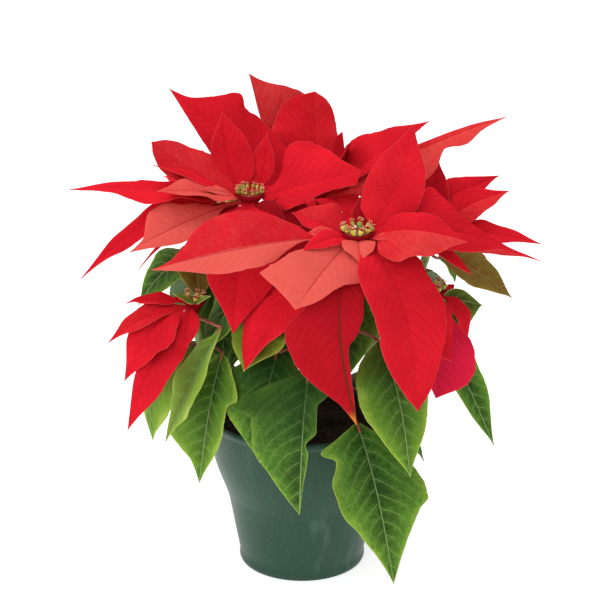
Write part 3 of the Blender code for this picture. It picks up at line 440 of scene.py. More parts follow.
def bandFaces(rows, around):
    # the faces between rings of this many points, row by row
    index = np.arange(rows * around).reshape(rows, around)
    turned = np.roll(index, -1, axis=1)
    return np.stack((index[:-1], turned[:-1], turned[1:], index[1:]), axis=-1).reshape(-1, 4).tolist()


def bladeShell(blade, form, seed):
    # the blade as a closed thin shell with its rim, midrib, side veins and ruffled margin
    chance = np.random.default_rng(seed)
    length = blade.length()
    along = np.linspace(0, 1, int(np.clip(length / (form["rowStep"] * mm), *bladeForm["rows"])) + 1)
    sides = []
    for half, edge in zip(blade.half, blade.edges):
        notches = 1 + form["notch"] * wander(chance, along, bladeForm["notchWaves"])
        sides.append(np.maximum(edgeShare(edge, along) * half * notches, bladeForm["least"] * mm))
    inner = (np.arange(1, form["columns"]) / form["columns"]) ** bladeForm["crowding"]
    columns = []
    for sign, half in ((-1, sides[1]), (1, sides[0])):
        rim = np.minimum(form["rim"] * mm, half * bladeForm["rimShare"])
        outwards = [*(half * share * bladeForm["reach"] for share in inner), half - rim, half]
        columns.append([sign * column for column in outwards[::sign]])
    out = np.stack([*columns[0], 0 * along, *columns[1]], axis=1)
    halfHere = np.where(out > 0, sides[0][:, None], sides[1][:, None])
    share = np.abs(out) / halfHere
    place = np.broadcast_to(along[:, None], out.shape)
    # side veins leave the midrib in step with the length and arch towards the tip
    flat, steep = bladeForm["arch"]
    run = np.abs(out) / length * (flat + steep * share) * form["slant"] * 2
    phase = length / (form["veinGap"] * mm) * (place - run) + bladeForm["outOfStep"] * (out > 0)
    phase += chance.random() + bladeForm["unrest"] * np.sin(place * 13 + share * 4 + seed)
    pillow = np.abs(np.sin(math.pi * phase)) ** bladeForm["pillow"]
    quilted = eased(0.03, 0.22, share) * (1 - eased(0.7, 1, share))
    quilted = quilted * (1 - eased(0.86, 1, place)) * eased(0.02, 0.14, place)
    size = eased(*bladeForm["grows"], halfHere)
    lift = form["quilt"] * mm * (pillow - 0.5) * quilted * size
    lift += form["swell"] * halfHere * np.sin(math.pi * share) * eased(0, 0.2, place)
    ribHere = np.exp(-(out / (form["grooveHalf"] * mm)) ** 2) * (1 - 0.7 * place) * eased(0, 0.1, place)
    lift -= form["groove"] * mm * ribHere
    ruffle = [wander(chance, along, bladeForm["ruffleWaves"])[:, None] for side in range(2)]
    lift += form["ruffle"] * halfHere * np.where(out > 0, *ruffle) * share ** 2.2 * size
    lift += form["tipCurl"] * mm * chance.uniform(-1, 0.4) * eased(0.8, 1, place) ** 1.5
    thick = form["thick"] / 2 * mm * (share < 0.9999)
    top = blade.point(place, out, lift + thick)
    low = blade.point(place, out, lift - thick - form["rib"] * mm * ribHere)[:, 1:-1][:, ::-1]
    rings = np.concatenate((top, low), axis=1)
    wide, ring = top.shape[1], rings.shape[1]
    faces = bandFaces(len(along), ring)
    index = np.arange(len(along) * ring).reshape(-1, ring).tolist()
    for row, step in ((index[0], -1), (index[-1], 1)):
        upper, lower = row[:wide], [row[0], *row[wide:][::-1], row[wide - 1]]
        faces += [list(dict.fromkeys(corners))[::step] for corners in zip(upper, upper[1:], lower[1:], lower)]
    # how squarely each face meets the light from above and behind, which the finishes paint in as light
    face = np.cross(np.gradient(top, axis=1), np.gradient(top, axis=0))
    face /= np.maximum(np.linalg.norm(face, axis=2, keepdims=True), 1e-12)
    level = eased(*bladeForm["levelRange"], np.abs(face @ bladeForm["towards"]))
    kept = {
        "out": out, "run": place * length, "own": seed * 0.37, "phase": phase, "along": place, "share": share,
        "toEdge": (halfHere - np.abs(out)) / mm, "level": level, "tone": chance.uniform(-1, 1), "under": 0.0,
        "tint": blade.tint, "cast": blade.cast, "dim": blade.dim, "pale": np.where(out > 0, *blade.pale),
        "rest": 0.0,
    }
    shell = {"points": rings.reshape(-1, 3), "faces": faces}
    for field, names in bladeFields.items():
        values = np.stack([np.broadcast_to(kept[name], out.shape) for name in names], axis=-1)
        shell[field] = np.concatenate((values, values[:, 1:-1][:, ::-1]), axis=1).reshape(-1, 3)
    shell["bladeTone"].reshape(-1, ring, 3)[:, wide:, 1] = 1
    return shell


def turnedShell(profile, steps, middle=(0, 0, 0)):
    # a closed turned form from its profile of radii and heights, on the axis through its middle
    turn = math.tau * np.arange(steps) / steps
    points = [(radius * np.cos(turn), radius * np.sin(turn), height + 0 * turn) for radius, height in profile]
    last = (len(profile) - 1) * steps
    ends = [[*range(steps)][::-1], [*range(last, last + steps)]]
    return np.array(points).swapaxes(1, 2).reshape(-1, 3) + middle, [*bandFaces(len(profile), steps), *ends]


def meshOf(name, points, faces=(), edges=(), **fields):
    # a mesh in metres that keeps the values of its fields at its corners
    mesh = bpy.data.meshes.new(name)
    mesh.from_pydata(np.asarray(points, float).tolist(), edges, faces)
    for field, values in fields.items():
        kind, key = ("FLOAT_VECTOR", "vector") if np.ndim(values) == 2 else ("FLOAT", "value")
        mesh.attributes.new(field, kind, "POINT").data.foreach_set(key, np.ravel(values).astype(np.float32))
    return mesh


def joined(name, shells):
    # one mesh from several shells, with the fields of their corners
    faces, start = [], 0
    for shell in shells:
        faces.extend([corner + start for corner in face] for face in shell["faces"])
        start += len(shell["points"])
    values = {key: np.concatenate([shell[key] for shell in shells]) for key in shells[0] if key != "faces"}
    mesh = meshOf(name, faces=faces, **values)
    mesh.shade_smooth()
    return mesh


def addPiece(name, mesh, finish, node):
    # a finished piece rides on the body, takes its finish and hides the imported solid that it stands for
    piece = bpy.data.objects.new(name, mesh)
    scene.collection.objects.link(piece)
    mesh.materials.clear()
    mesh.materials.append(finish)
    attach(piece, "root")
    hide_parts(node)
    mesh.calc_loop_triangles()
    print("stage:", name, len(mesh.loop_triangles), "triangles")


class Wire:
    # one socket of a node tree, so that sums on it can be written as they are in Python
    def __init__(self, tree, socket):
        self.tree, self.socket = tree, socket

    def __add__(self, other):
        return self.tree.maths("ADD", self, other)

    def __sub__(self, other):
        return self.tree.maths("SUBTRACT", self, other)

    def __rsub__(self, other):
        return self.tree.maths("SUBTRACT", other, self)

    def __mul__(self, other):
        return self.tree.maths("MULTIPLY", self, other)

    def __abs__(self):
        return self.tree.maths("ABSOLUTE", self)

    __radd__ = __add__
    __rmul__ = __mul__

    def ramp(self, low, high):
        # 0 at low and 1 at high, eased, and the other way round where low is the larger
        return self.tree.add(
            "ShaderNodeMapRange", {"interpolation_type": "SMOOTHSTEP"},
            {"Value": self, "From Min": low, "From Max": high},
        )


class Tree:
    # a node tree, where add makes any node from its type, its settings and the values or links of its sockets
    def __init__(self, nodeTree):
        self.nodeTree = nodeTree

    def add(self, kind, settings=None, inputs=None, output=0):
        node = self.nodeTree.nodes.new(kind)
        for name, value in (settings or {}).items():
            setattr(node, name, value)
        self.feed(node, inputs or {})
        if isinstance(output, tuple):
            return [Wire(self, node.outputs[name]) for name in output]
        return Wire(self, node.outputs[output])

    def feed(self, node, inputs):
        for name, value in inputs.items():
            if isinstance(value, Wire):
                self.nodeTree.links.new(value.socket, node.inputs[name])
            else:
                node.inputs[name].default_value = value

    def maths(self, operation, *values):
        return self.add("ShaderNodeMath", {"operation": operation}, dict(enumerate(values)))

    def place(self):
        return self.add("ShaderNodeTexCoord", output="Object")

    def field(self, name, output="Fac"):
        # what a piece keeps at its corners under this name
        return self.add("ShaderNodeAttribute", {"attribute_name": name}, output=output)

    def parts(self, vector):
        return self.add("ShaderNodeSeparateXYZ", inputs={0: vector}, output=(0, 1, 2))

    def vector(self, *parts):
        return self.add("ShaderNodeCombineXYZ", inputs=dict(enumerate(parts)))

    def chance(self, low, high, seed):
        # a random number between two, or a random vector
        kind, first, output = ("FLOAT_VECTOR", 0, 0) if isinstance(low, tuple) else ("FLOAT", 2, 1)
        inputs = {first: low, first + 1: high, 8: seed}
        return self.add("FunctionNodeRandomValue", {"data_type": kind}, inputs, output)

    def mix(self, share, first, second):
        first, second = (value if isinstance(value, Wire) else (*value, 1) for value in (first, second))
        return self.add("ShaderNodeMix", {"data_type": "RGBA"}, {0: share, 6: first, 7: second}, 2)

    def layered(self, look, first, *layers):
        # a colour of the look, with others laid over it in turn, each by its share
        colour = look[first]
        for share, name in layers:
            colour = self.mix(share, colour, look[name])
        return colour

    def noise(self, place, scale, detail=3.0):
        inputs = {"Vector": place, "Scale": scale, "Detail": detail, "Roughness": 0.55}
        return self.add("ShaderNodeTexNoise", inputs=inputs)

    def cells(self, place, scale):
        # the distance to the walls between the cells of a fine skin
        inputs = {"Vector": place, "Scale": scale}
        return self.add("ShaderNodeTexVoronoi", {"feature": "DISTANCE_TO_EDGE"}, inputs)

    def bump(self, height, depth):
        return self.add("ShaderNodeBump", inputs={"Height": height, "Distance": depth})


def finishNamed(name, build, constants):
    # a material whose changing inputs come from its build, with the constant ones set on the shader itself
    finish = bpy.data.materials.new(name)
    finish.use_nodes = True
    shader = finish.node_tree.nodes["Principled BSDF"]
    for socket, value in constants.items():
        shader.inputs[socket].default_value = value
    tree = Tree(finish.node_tree)
    tree.feed(shader, build(tree))
    return finish


bractLook = {
    "deep": (0.50, 0.009, 0.018), "bright": (0.76, 0.015, 0.028), "painted_sheen": (0.72, 0.110, 0.086),
    "under": (0.45, 0.006, 0.018), "painted_shade_magenta": (0.68, 0.016, 0.060), "vein": (0.30, 0.003, 0.006),
    "dark": (0.055, 0.002, 0.003), "rim": (0.80, 0.16, 0.14), "olive": (0.07, 0.025, 0.008),
    "orangeTip": (0.62, 0.20, 0.03), "cells": 640.0, "bump": 0.00015,
}
leafLook = {
    "deep": (0.014, 0.046, 0.007), "mid": (0.100, 0.235, 0.026), "fresh": (0.210, 0.350, 0.026),
    "vein": (0.30, 0.43, 0.17), "rim": (0.42, 0.50, 0.11), "under": (0.13, 0.22, 0.09),
    "bronze": (0.24, 0.075, 0.014), "orange": (0.50, 0.16, 0.03), "cells": 520.0, "bump": 0.00022,
}


def bladeWires(tree):
    # everything that a blade keeps at its corners, by name, as wires
    wires = SimpleNamespace(spot=tree.field("bladeSpot", "Vector"))
    for field, names in bladeFields.items():
        vars(wires).update(zip(names, tree.parts(tree.field(field, "Vector"))))
    return wires


def fromVein(tree, blade):
    # 0 on the side veins and 0.5 midway between two
    return 0.5 - abs(tree.maths("FRACT", blade.phase) - 0.5)


def veinLines(tree, blade, gap, wide):
    # 1 on the side veins, which thin out towards the margin
    line = (fromVein(tree, blade) * gap).ramp(wide, wide * 0.2)
    return line * blade.toEdge.ramp(0.5, 4.0) * abs(blade.out).ramp(0.0, 0.0012)


def bractBuild(tree):
    blade = bladeWires(tree)
    aside, along, tint = abs(blade.out), blade.along, blade.tint
    broad, grain = tree.noise(tree.place(), 30.0, 2.0), tree.noise(blade.spot, 700.0)
    blotch = tree.noise(blade.spot, 120.0)
    # deep to bright by random tone, and partly by how level the face lies, which is painted light
    shade = (broad * 0.7 + blade.tone * 0.1 + grain * 0.2 + blade.level * 0.35).ramp(0.15, 0.95)
    # pale is the share of painted sheen: the light that level faces catch from above, painted as a paler
    # salmon red
    pale = blade.pale * (0.6 + blade.level * 0.15 + along.ramp(0.0, 0.6) * 0.3)
    pale = (pale + (blotch - 0.5) * 0.35 + (grain - 0.5) * 0.25).ramp(0.1, 1.0)
    lines = veinLines(tree, blade, bractForm["veinGap"], 1.1) * (0.35 + blotch)
    cell = tree.cells(blade.spot, bractLook["cells"])
    colour = tree.layered(
        bractLook, "deep", (shade, "bright"), (pale * (1 - blade.cast) * 0.92, "painted_sheen"),
        # cast paints shade in a cooler magenta, and keeps the painted sheen off
        (blade.cast * 0.75, "painted_shade_magenta"), (lines * (0.24 - pale * 0.16) + cell.ramp(0.12, 0.02) * 0.06, "vein"),
        (aside.ramp(0.0008, 0.0002) * along.ramp(1.0, 0.75) * (0.25 + pale * 0.3), "vein"),
        # dim paints shade in near black
        # the light rim along the margin is a painted highlight
        (blade.under * 0.8, "under"), (blade.dim, "dark"), (blade.toEdge.ramp(0.45, 0.1) * 0.45, "rim"),
        (tint * aside.ramp(0.0014, 0.0005) * along.ramp(0.2, 0.6) * 0.8, "olive"),
        (tint * along.ramp(0.92, 0.99), "orangeTip"),
    )
    bump = tree.bump(cell.ramp(0.0, 0.35) * 0.4 + grain * 0.5 - lines * 0.5, bractLook["bump"])
    return {"Base Color": colour, "Roughness": 0.44 + grain * 0.12, "Normal": bump}


def leafBuild(tree):
    blade = bladeWires(tree)
    share, cast, tint = blade.share, blade.cast, blade.tint
    broad, mottle = tree.noise(tree.place(), 45.0), tree.noise(blade.spot, 300.0, 4.0)
    heart = fromVein(tree, blade).ramp(0.0, 0.5) * share.ramp(1.0, 0.3)
    green = 0.42 - heart * 0.16 + (broad - 0.5) * 0.8 + (mottle - 0.5) * 0.9 + blade.tone * 0.1 + share * 0.5
    # how level the face lies lightens the green, which is painted light
    green = (green + blade.level * 0.2).ramp(0.1, 1.15)
    margin = (share + (mottle - 0.5) * 0.5 + (broad - 0.5) * 0.5).ramp(0.72, 1.05)
    fresh = (margin * 0.5 + blade.along.ramp(0.2, 0.9) * 0.14 + cast * (0.3 + share * 0.6)).ramp(0.0, 1.0)
    lines = veinLines(tree, blade, leafForm["veinGap"], 0.4)
    colour = tree.layered(
        leafLook, "deep", (green, "mid"), (fresh, "fresh"),
        (cast * (share + (broad - 0.5)).ramp(0.75, 1.0) * 0.55, "rim"), (lines * 0.6, "vein"),
        (abs(blade.out).ramp(0.0007, 0.0002) * 0.6, "vein"), (blade.toEdge.ramp(0.8, 0.2) * 0.75, "rim"),
        (tint * (0.55 + mottle * 0.5), "bronze"), (tint * blade.toEdge.ramp(1.2, 0.3) * 0.5, "orange"),
        # dim paints shade towards the root, in the deep green
        (blade.under * 0.7, "under"), (blade.dim * blade.along.ramp(0.75, 0.1) * 0.7, "deep"),
    )
    height = tree.cells(blade.spot, leafLook["cells"]).ramp(0.0, 0.3) * 0.6 + mottle * 0.5 - lines * 0.9
    bump = tree.bump(height, leafLook["bump"])
    return {"Base Color": colour, "Roughness": 0.38 + mottle * 0.18, "Normal": bump}


bractFinish = finishNamed("bract red", bractBuild, {"Specular IOR Level": 0.0})
leafFinish = finishNamed("leaf green", leafBuild, {"Specular IOR Level": 0.06})

# the hub that a head's bracts grow from, as shares of its radius and depth, and what all its corners keep,
# whose dim of 0.6 paints shade on it
hubForm = {
    "profile": ((0.30, -1.0), (0.38, -0.98), (0.46, -0.8), (0.62, -0.55), (0.82, -0.3), (0.97, -0.12),
                (1.0, -0.02), (0.96, 0.0)),
    "steps": 20, "fields": {"bladeVeins": (0.5, 20, 0.5), "bladeTone": (0, 0.3, 0), "bladeLight": (0, 0, 0),
                            "bladeShade": (0, 0.6, 0)},
}


def hubShell(name):
    middle, ring = heads[name]
    wide = ring + headRule["hubSpread"]
    profile = [(wide * share, headRule["hubDepth"] * depth) for share, depth in hubForm["profile"]]
    points, faces = turnedShell(profile, hubForm["steps"], np.array(middle) - (0, 0, headRule["hubDrop"]))
    fields = {field: np.broadcast_to(values, points.shape) for field, values in hubForm["fields"].items()}
    return {"points": points * mm, "faces": faces, "bladeSpot": points * mm + (0.01, 0, 0), **fields}


missing = []
for order, name in enumerate(heads):
    node, seed = "bracts_" + name, order * 40
    blades = packedBlades(bractsOf(name), cornersOf(node), name)
    shells = [hubShell(name), *(bladeShell(blade, bractForm, seed + index + 1) for index, blade in blades)]
    for index, (root, tip, half, edges, more) in enumerate(innerBracts.get(name, ())):
        shells.append(bladeShell(Blade(root, tip, half, edges, **more), bractForm, seed + index + 31))
    addPiece("bractsFine_" + name, joined("bractsFine_" + name, shells), bractFinish, node)

plantCorners = cornersOf("plant")
packedLeaves = packedBlades(leavesOfPlant(), plantCorners, "leaves")
shells = [bladeShell(blade, leafForm, 400 + index) for index, blade in packedLeaves]
for index, (root, tip, half, edges, *more) in enumerate(extraLeaves):
    shells.append(bladeShell(Blade(root, tip, half, edges, **dict(*more)), leafForm, 500 + index))
addPiece("leavesFine", joined("leavesFine", shells), leafFinish, "plant")


def newTree(name, kinds, build):
    # a tree with named inputs, a mesh to start from and then sizes, that ends in real faces with a material
    tree = Tree(bpy.data.node_groups.new(name, "GeometryNodeTree"))
    face, nodes = tree.nodeTree.interface, tree.nodeTree.nodes
    kinds = {"Mesh": "Geometry", **kinds, "Finish": "Material"}
    for label, kind in kinds.items():
        face.new_socket(label, in_out="INPUT", socket_type="NodeSocket" + kind)
    face.new_socket("Mesh", in_out="OUTPUT", socket_type="NodeSocketGeometry")
    start = nodes.new("NodeGroupInput")
    given = {label: Wire(tree, start.outputs[label]) for label in kinds}
    real = tree.add("GeometryNodeRealizeInstances", inputs={0: build(tree, given)})
    smooth = tree.add("GeometryNodeSetShadeSmooth", inputs={0: real})
    finished = tree.add("GeometryNodeSetMaterial", inputs={0: smooth, "Material": given["Finish"]})
    tree.nodeTree.links.new(finished.socket, nodes.new("NodeGroupOutput").inputs[0])
    return tree


def grown(name, mesh, tree, values):
    # the plain mesh that a tree grows from this one, with the named sizes set before it is worked out
    seedling = bpy.data.objects.new(name, mesh)
    scene.collection.objects.link(seedling)
    modifier = seedling.modifiers.new(name, "NODES")
    modifier.node_group = tree.nodeTree
    for socket in tree.nodeTree.interface.items_tree:
        if socket.in_out == "INPUT" and socket.name in values:
            modifier[socket.identifier] = values[socket.name]
    bpy.context.view_layer.update()
    result = bpy.data.meshes.new_from_object(seedling.evaluated_get(bpy.context.evaluated_depsgraph_get()))
    bpy.data.objects.remove(seedling, do_unlink=True)
    result.name = name
    return result


# the routes of the trunk, the branches and the stalks of the leaves; a branch leaves the trunk at a share of
# the way to its head and below the trunk's top, then passes its knee and its neck and ends straight upwards
stemRule = {
    "trunkAt": (0, 8), "trunkFoot": 66, "trunkTop": 158, "trunkRadius": 6.0, "trunkPoints": 14,
    "branchRadius": 3.3, "branchPoints": 40, "stalkRadius": 1.25, "stalkTaper": (1.25, 0.9),
    "stalkPoints": 20, "stalkLifts": (9, 0, 18, -9, 27), "stalkSides": (0, 10, -10, 20, -20), "near": 2.2,
    "around": 12, "leaving": (0.02, 14), "knee": (0.62, 0.22), "neck": (0.92, 34), "straight": 9.0,
    "gap": 0.3,
}


def bend(start, control, end, count):
    start, control, end = (np.array(point, float) for point in (start, control, end))
    return [start * (1 - s) ** 2 + control * 2 * s * (1 - s) + end * s * s for s in np.linspace(0, 1, count)]


def branchRoute(name):
    x, y, z = heads[name][0]
    trunkX, trunkY = stemRule["trunkAt"]
    top = z - headRule["hubDrop"] - headRule["hubDepth"] - stemRule["gap"]
    foot = stemRule["trunkTop"]
    (away, drop), (out, rise), (far, below) = stemRule["leaving"], stemRule["knee"], stemRule["neck"]
    start = (trunkX + x * away, trunkY + (y - trunkY) * away, foot - drop)
    knee = (x * out, y * out, foot + (top - foot) * rise)
    route = bend(start, knee, (x * far, y * far, top - below), 5)
    return [*route, np.array((x, y, top - stemRule["straight"])), np.array((x, y, float(top)))]


def rounded(route, count):
    # a smooth line of this many points through the corners of a route
    route = np.array(route, float)
    ends = np.concatenate((route[:1] * 2 - route[1:2], route, route[-1:] * 2 - route[-2:-1]))
    line = []
    for s in np.linspace(0, len(route) - 1, count):
        span = min(int(s), len(route) - 2)
        u = s - span
        a, b, c, d = ends[span:span + 4]
        curve = (2 * a - 5 * b + 4 * c - d) * u * u + (3 * b - a - 3 * c + d) * u ** 3
        line.append(0.5 * (2 * b + (c - a) * u + curve))
    return np.array(line)


def spotsOnBranches(place, names):
    # places on these branches, the nearest first, where a place above counts as further away
    spots = []
    for name in names:
        route = branchRoute(name)
        for first, second in zip(route[1:], route[2:]):
            for share in (0.0, 0.25, 0.5, 0.75):
                spot = first + (second - first) * share
                far = float(np.linalg.norm(spot - place))
                spots.append((far + max(0, float(spot[2] - place[2])) * 1.5, tuple(spot)))
    return [np.array(spot) for far, spot in sorted(spots)]


def stalkAsPacked(blade, corners):
    # the stalk's bend that its solid took: the one whose middle lies in the ring of corners of that solid
    root = blade.root / mm
    for spot in spotsOnBranches(root, [blade.branch] if blade.branch else heads)[:8:2]:
        across = np.cross(root - spot, (0, 0, 1))
        across /= np.linalg.norm(across)
        for lift in stemRule["stalkLifts"]:
            for side in stemRule["stalkSides"]:
                middle = spot + (root - spot) * 0.55 + np.array((0, 0, lift)) + across * side
                halfway = bend(spot, middle, root, 3)[1]
                if len(corners.find_range(halfway * mm, stemRule["near"] * mm)) >= 3:
                    return [*bend(spot, middle, root, 9), blade.point(0.06, 0.0) / mm]
    return None


def stemBuild(tree, given):
    line = tree.add("GeometryNodeMeshToCurve", inputs={0: given["Mesh"]})
    ring = tree.add("GeometryNodeCurvePrimitiveCircle", inputs={"Resolution": given["Sides"], "Radius": 1.0})
    thick = tree.add("GeometryNodeInputNamedAttribute", {"data_type": "FLOAT"}, {"Name": "thick"})
    inputs = {0: line, "Profile Curve": ring, "Scale": thick, "Fill Caps": True}
    return tree.add("GeometryNodeCurveToMesh", inputs=inputs)


def linesMesh(name, lines):
    # plain edges along each line, with its thickness and kind at every point
    ends = np.cumsum([len(line) for line, radii, kind in lines])
    edges = [(step, step + 1) for step in range(ends[-1] - 1) if step + 1 not in ends]
    thick = [np.broadcast_to(radii, len(line)) * mm for line, radii, kind in lines]
    kinds = [np.full(len(line), kind) for line, radii, kind in lines]
    points = np.concatenate([line * mm for line, radii, kind in lines])
    return meshOf(name, points, edges=edges, thick=np.concatenate(thick), kind=np.concatenate(kinds))


stemLook = {
    "green": (0.16, 0.30, 0.07), "pale": (0.32, 0.46, 0.16), "woody": (0.14, 0.085, 0.04),
    "red": (0.30, 0.035, 0.03),
}


def stemFinishBuild(tree):
    place = tree.place()
    streak = tree.noise(place, 160.0)
    low = tree.parts(place)[2].ramp(0.215, 0.15)
    colour = tree.layered(
        stemLook, "green", (streak.ramp(0.3, 0.7), "pale"), (low * 0.85, "woody"),
        (tree.field("kind") * (0.35 + streak), "red"),
    )
    return {"Base Color": colour, "Roughness": 0.42 + streak * 0.2, "Normal": tree.bump(streak, 0.0004)}


stemFinish = finishNamed("stem green", stemFinishBuild, {"Specular IOR Level": 0.4})
stemTree = newTree("stems", {"Sides": "Int"}, stemBuild)
foot, top = (np.array((*stemRule["trunkAt"], stemRule[end]), float) for end in ("trunkFoot", "trunkTop"))
trunk = np.array([foot + (top - foot) * s for s in np.linspace(0, 1, stemRule["trunkPoints"])])
lines = [(trunk, stemRule["trunkRadius"] * (1 + 0.05 * np.sin(np.arange(len(trunk)) * 1.7)), 0.0)]
count = stemRule["branchPoints"]
joints = 1 + 0.16 * np.exp(-((np.arange(count) % 9 - 4.5) / 0.9) ** 2)
lines += [(rounded(branchRoute(name), count), stemRule["branchRadius"] * joints, 0.0) for name in heads]
count = stemRule["stalkPoints"]
taper = np.linspace(*stemRule["stalkTaper"], count) * stemRule["stalkRadius"]
for index, leaf in packedLeaves:
    route = stalkAsPacked(leaf, plantCorners)
    if route is None:
        missing.append(("stalk", index))
        continue
    lines.append((rounded(route, count), taper, 1.0))
sizes = {"Sides": stemRule["around"], "Finish": stemFinish}
mesh = grown("stemsFine", linesMesh("stemsFine", lines), stemTree, sizes)
addPiece("stemsFine", mesh, stemFinish, "plant")
print("stage: not found in the solids", missing)

# the pot: its outline from the foot up, over the lip and down inside, turned round its axis
potForm = {
    "steps": 160, "axis": 0.00001, "weld": 0.00002, "wall": 2.0, "innerFrom": 9,
    "foot": ((0, 0.9), (49.0, 0.9), (50.2, 0.1), (52.8, 0.0), (53.9, 0.5), (54.5, 1.8), (54.6, 4.0),
             (54.25, 6.2)),
    "side": ((54.0, 7.2), (58.8, 33.5), (63.6, 60), (67.0, 71), (71.4, 83), (74.6, 93), (76.9, 102.5),
             (78.5, 112), (80.1, 123), (81.2, 132.8)),
    "lip": ((81.9, 134.2), (82.9, 135.6), (83.2, 137.6), (82.9, 139.2), (82.2, 139.9), (81.2, 140.0),
            (80.5, 139.4)),
    "floor": ((51.6, 4.5), (50.2, 3.2), (0, 3.0)), "points": {"side": 44, "lip": 18, "inner": 30},
}


def potBuild(tree, given):
    # the outline is swept round a very small ring of this many steps, and the points on the axis become one
    outline = tree.add("GeometryNodeMeshToCurve", inputs={0: given["Mesh"]})
    inputs = {"Resolution": given["Steps"], "Radius": given["Axis"]}
    ring = tree.add("GeometryNodeCurvePrimitiveCircle", inputs=inputs)
    turned = tree.add("GeometryNodeCurveToMesh", inputs={0: ring, "Profile Curve": outline})
    return tree.add("GeometryNodeMergeByDistance", inputs={0: turned, "Distance": potForm["weld"]})


def potOutline():
    # from the middle of the floor up the inside, over the lip and down to the foot, with heights downwards
    side, lip, count = potForm["side"], potForm["lip"], potForm["points"]
    inner = [(radius - potForm["wall"], height) for radius, height in side if height > potForm["innerFrom"]]
    walls = rounded(side, count["side"]), rounded(lip, count["lip"]), rounded(inner[::-1], count["inner"])
    points = np.concatenate((potForm["foot"], *walls, potForm["floor"]))[::-1] @ ((1, 0, 0), (0, -1, 0))
    return meshOf("potOutline", points * mm, edges=[(step, step + 1) for step in range(len(points) - 1)])


potLook = {
    "base": (0.008, 0.044, 0.021), "light": (0.014, 0.062, 0.031), "dusty": (0.22, 0.30, 0.26),
    "speck": (0.10, 0.20, 0.155), "foot": (0.02, 0.05, 0.04), "stretch": (90.0, 90.0, 14.0), "bump": 0.00022,
}


def potFinishBuild(tree):
    place = tree.place()
    stretched = tree.add("ShaderNodeMapping", inputs={"Vector": place, "Scale": potLook["stretch"]})
    cloud, fine = tree.noise(place, 14.0, 4.0), tree.noise(place, 900.0, 2.0)
    streak = tree.noise(stretched, 1.0, 4.0)
    scuff = (streak * cloud).ramp(0.30, 0.42)
    colour = tree.layered(
        potLook, "base", ((cloud * 0.7 + streak * 0.5).ramp(0.35, 0.85), "light"),
        (fine.ramp(0.60, 0.74) * 0.45, "speck"),
        ((1 - tree.parts(place)[2].ramp(0.0, 0.012)) * 0.35, "foot"), (scuff * 0.10, "dusty"),
    )
    return {
        "Base Color": colour, "Roughness": 0.33 + fine * 0.12 + scuff * 0.08,
        "Normal": tree.bump(fine * 0.6 + cloud * 0.8, potLook["bump"]),
    }


potShine = {"Specular IOR Level": 0.3, "Coat Roughness": 0.35}
potFinish = finishNamed("moulded pot green", potFinishBuild, potShine)
potTree = newTree("turnedPot", {"Steps": "Int", "Axis": "Float"}, potBuild)
sizes = {"Steps": potForm["steps"], "Axis": potForm["axis"], "Finish": potFinish}
addPiece("potFine", grown("potFine", potOutline(), potTree, sizes), potFinish, "pot")

# the small green cups in the middle of each head, as shares of a cup's size; rows gives the number of cups,
# the radius of their ring, their size and their lean where a head departs from the rule
cupForm = {
    "outline": ((0.02, -1.35), (0.42, -1.3), (0.78, -0.85), (0.98, -0.15), (1.0, 0.4), (0.86, 0.86),
                (0.7, 1.08), (0.56, 1.0), (0.42, 0.82), (0.02, 0.72)),
    "steps": 12, "lobes": 0.07, "lip": 6, "gland": ((0.98, 0.0, 0.5), (0.42, 0.72, 0.4)), "stamens": 10,
    "stamenLong": 1.7, "stamen": ((0.11, 0), (0.08, 0)), "anther": (0.2, 0.2, 0.22), "antherAside": 0.1,
    "rows": {"front_left": (14, 9.7, 1.6, 0.30), "front_right": (10, 10.4, 2.3, 0.36)}, "spacing": 2.9,
    "share": 0.42, "largest": 2.7, "lean": 0.3, "fewest": 5,
}
# the parts that the corners of a cup and of its disc belong to
cupParts = {"cup": 0.0, "lip": 1.0, "gland": 2.0, "stem": 3.0, "anther": 4.0, "disc": 5.0}


def cupMesh():
    # one cup with its yellow gland and the stamens in its mouth
    cup, faces = turnedShell(cupForm["outline"], cupForm["steps"])
    row, step = np.divmod(np.arange(len(cup)), cupForm["steps"])
    lobe = cupForm["lobes"] * np.cos(5 * math.tau * step / cupForm["steps"])
    cup[:, :2] *= 1 + (lobe * (abs(row - cupForm["lip"]) < 2))[:, None]
    part = np.where(row < cupForm["lip"], cupParts["cup"], cupParts["lip"])
    shells = [{"points": cup, "faces": faces, "part": part}]
    ball = bmesh.new()
    bmesh.ops.create_icosphere(ball, subdivisions=1, radius=1)
    corners = np.array([corner.co for corner in ball.verts])
    cells = [[corner.index for corner in face.verts] for face in ball.faces]
    ball.free()

    def add(points, faces, part):
        shells.append({"points": points, "faces": faces, "part": np.full(len(points), cupParts[part])})

    middle, size = cupForm["gland"]
    add(middle + corners * size, cells, "gland")
    for index in range(cupForm["stamens"]):
        turn = 2.4 * index
        out, aside = direction(turn, 0), direction(turn + math.pi / 2, 0)
        foot = out * 0.2 + (0, 0, 0.7)
        way = out * (0.12 + 0.5 * (index % 4) / 3) + (0, 0, 1)
        tip = foot + way / np.linalg.norm(way) * cupForm["stamenLong"] * (0.55 + 0.15 * (index * 7 % 4))
        stem, faces = turnedShell(cupForm["stamen"], 4)
        add(stem + np.repeat((foot, tip), 4, axis=0), faces, "stem")
        for side in (-1, 1):
            add(tip + aside * side * cupForm["antherAside"] + corners * cupForm["anther"], cells, "anther")
    return joined("cup", shells)


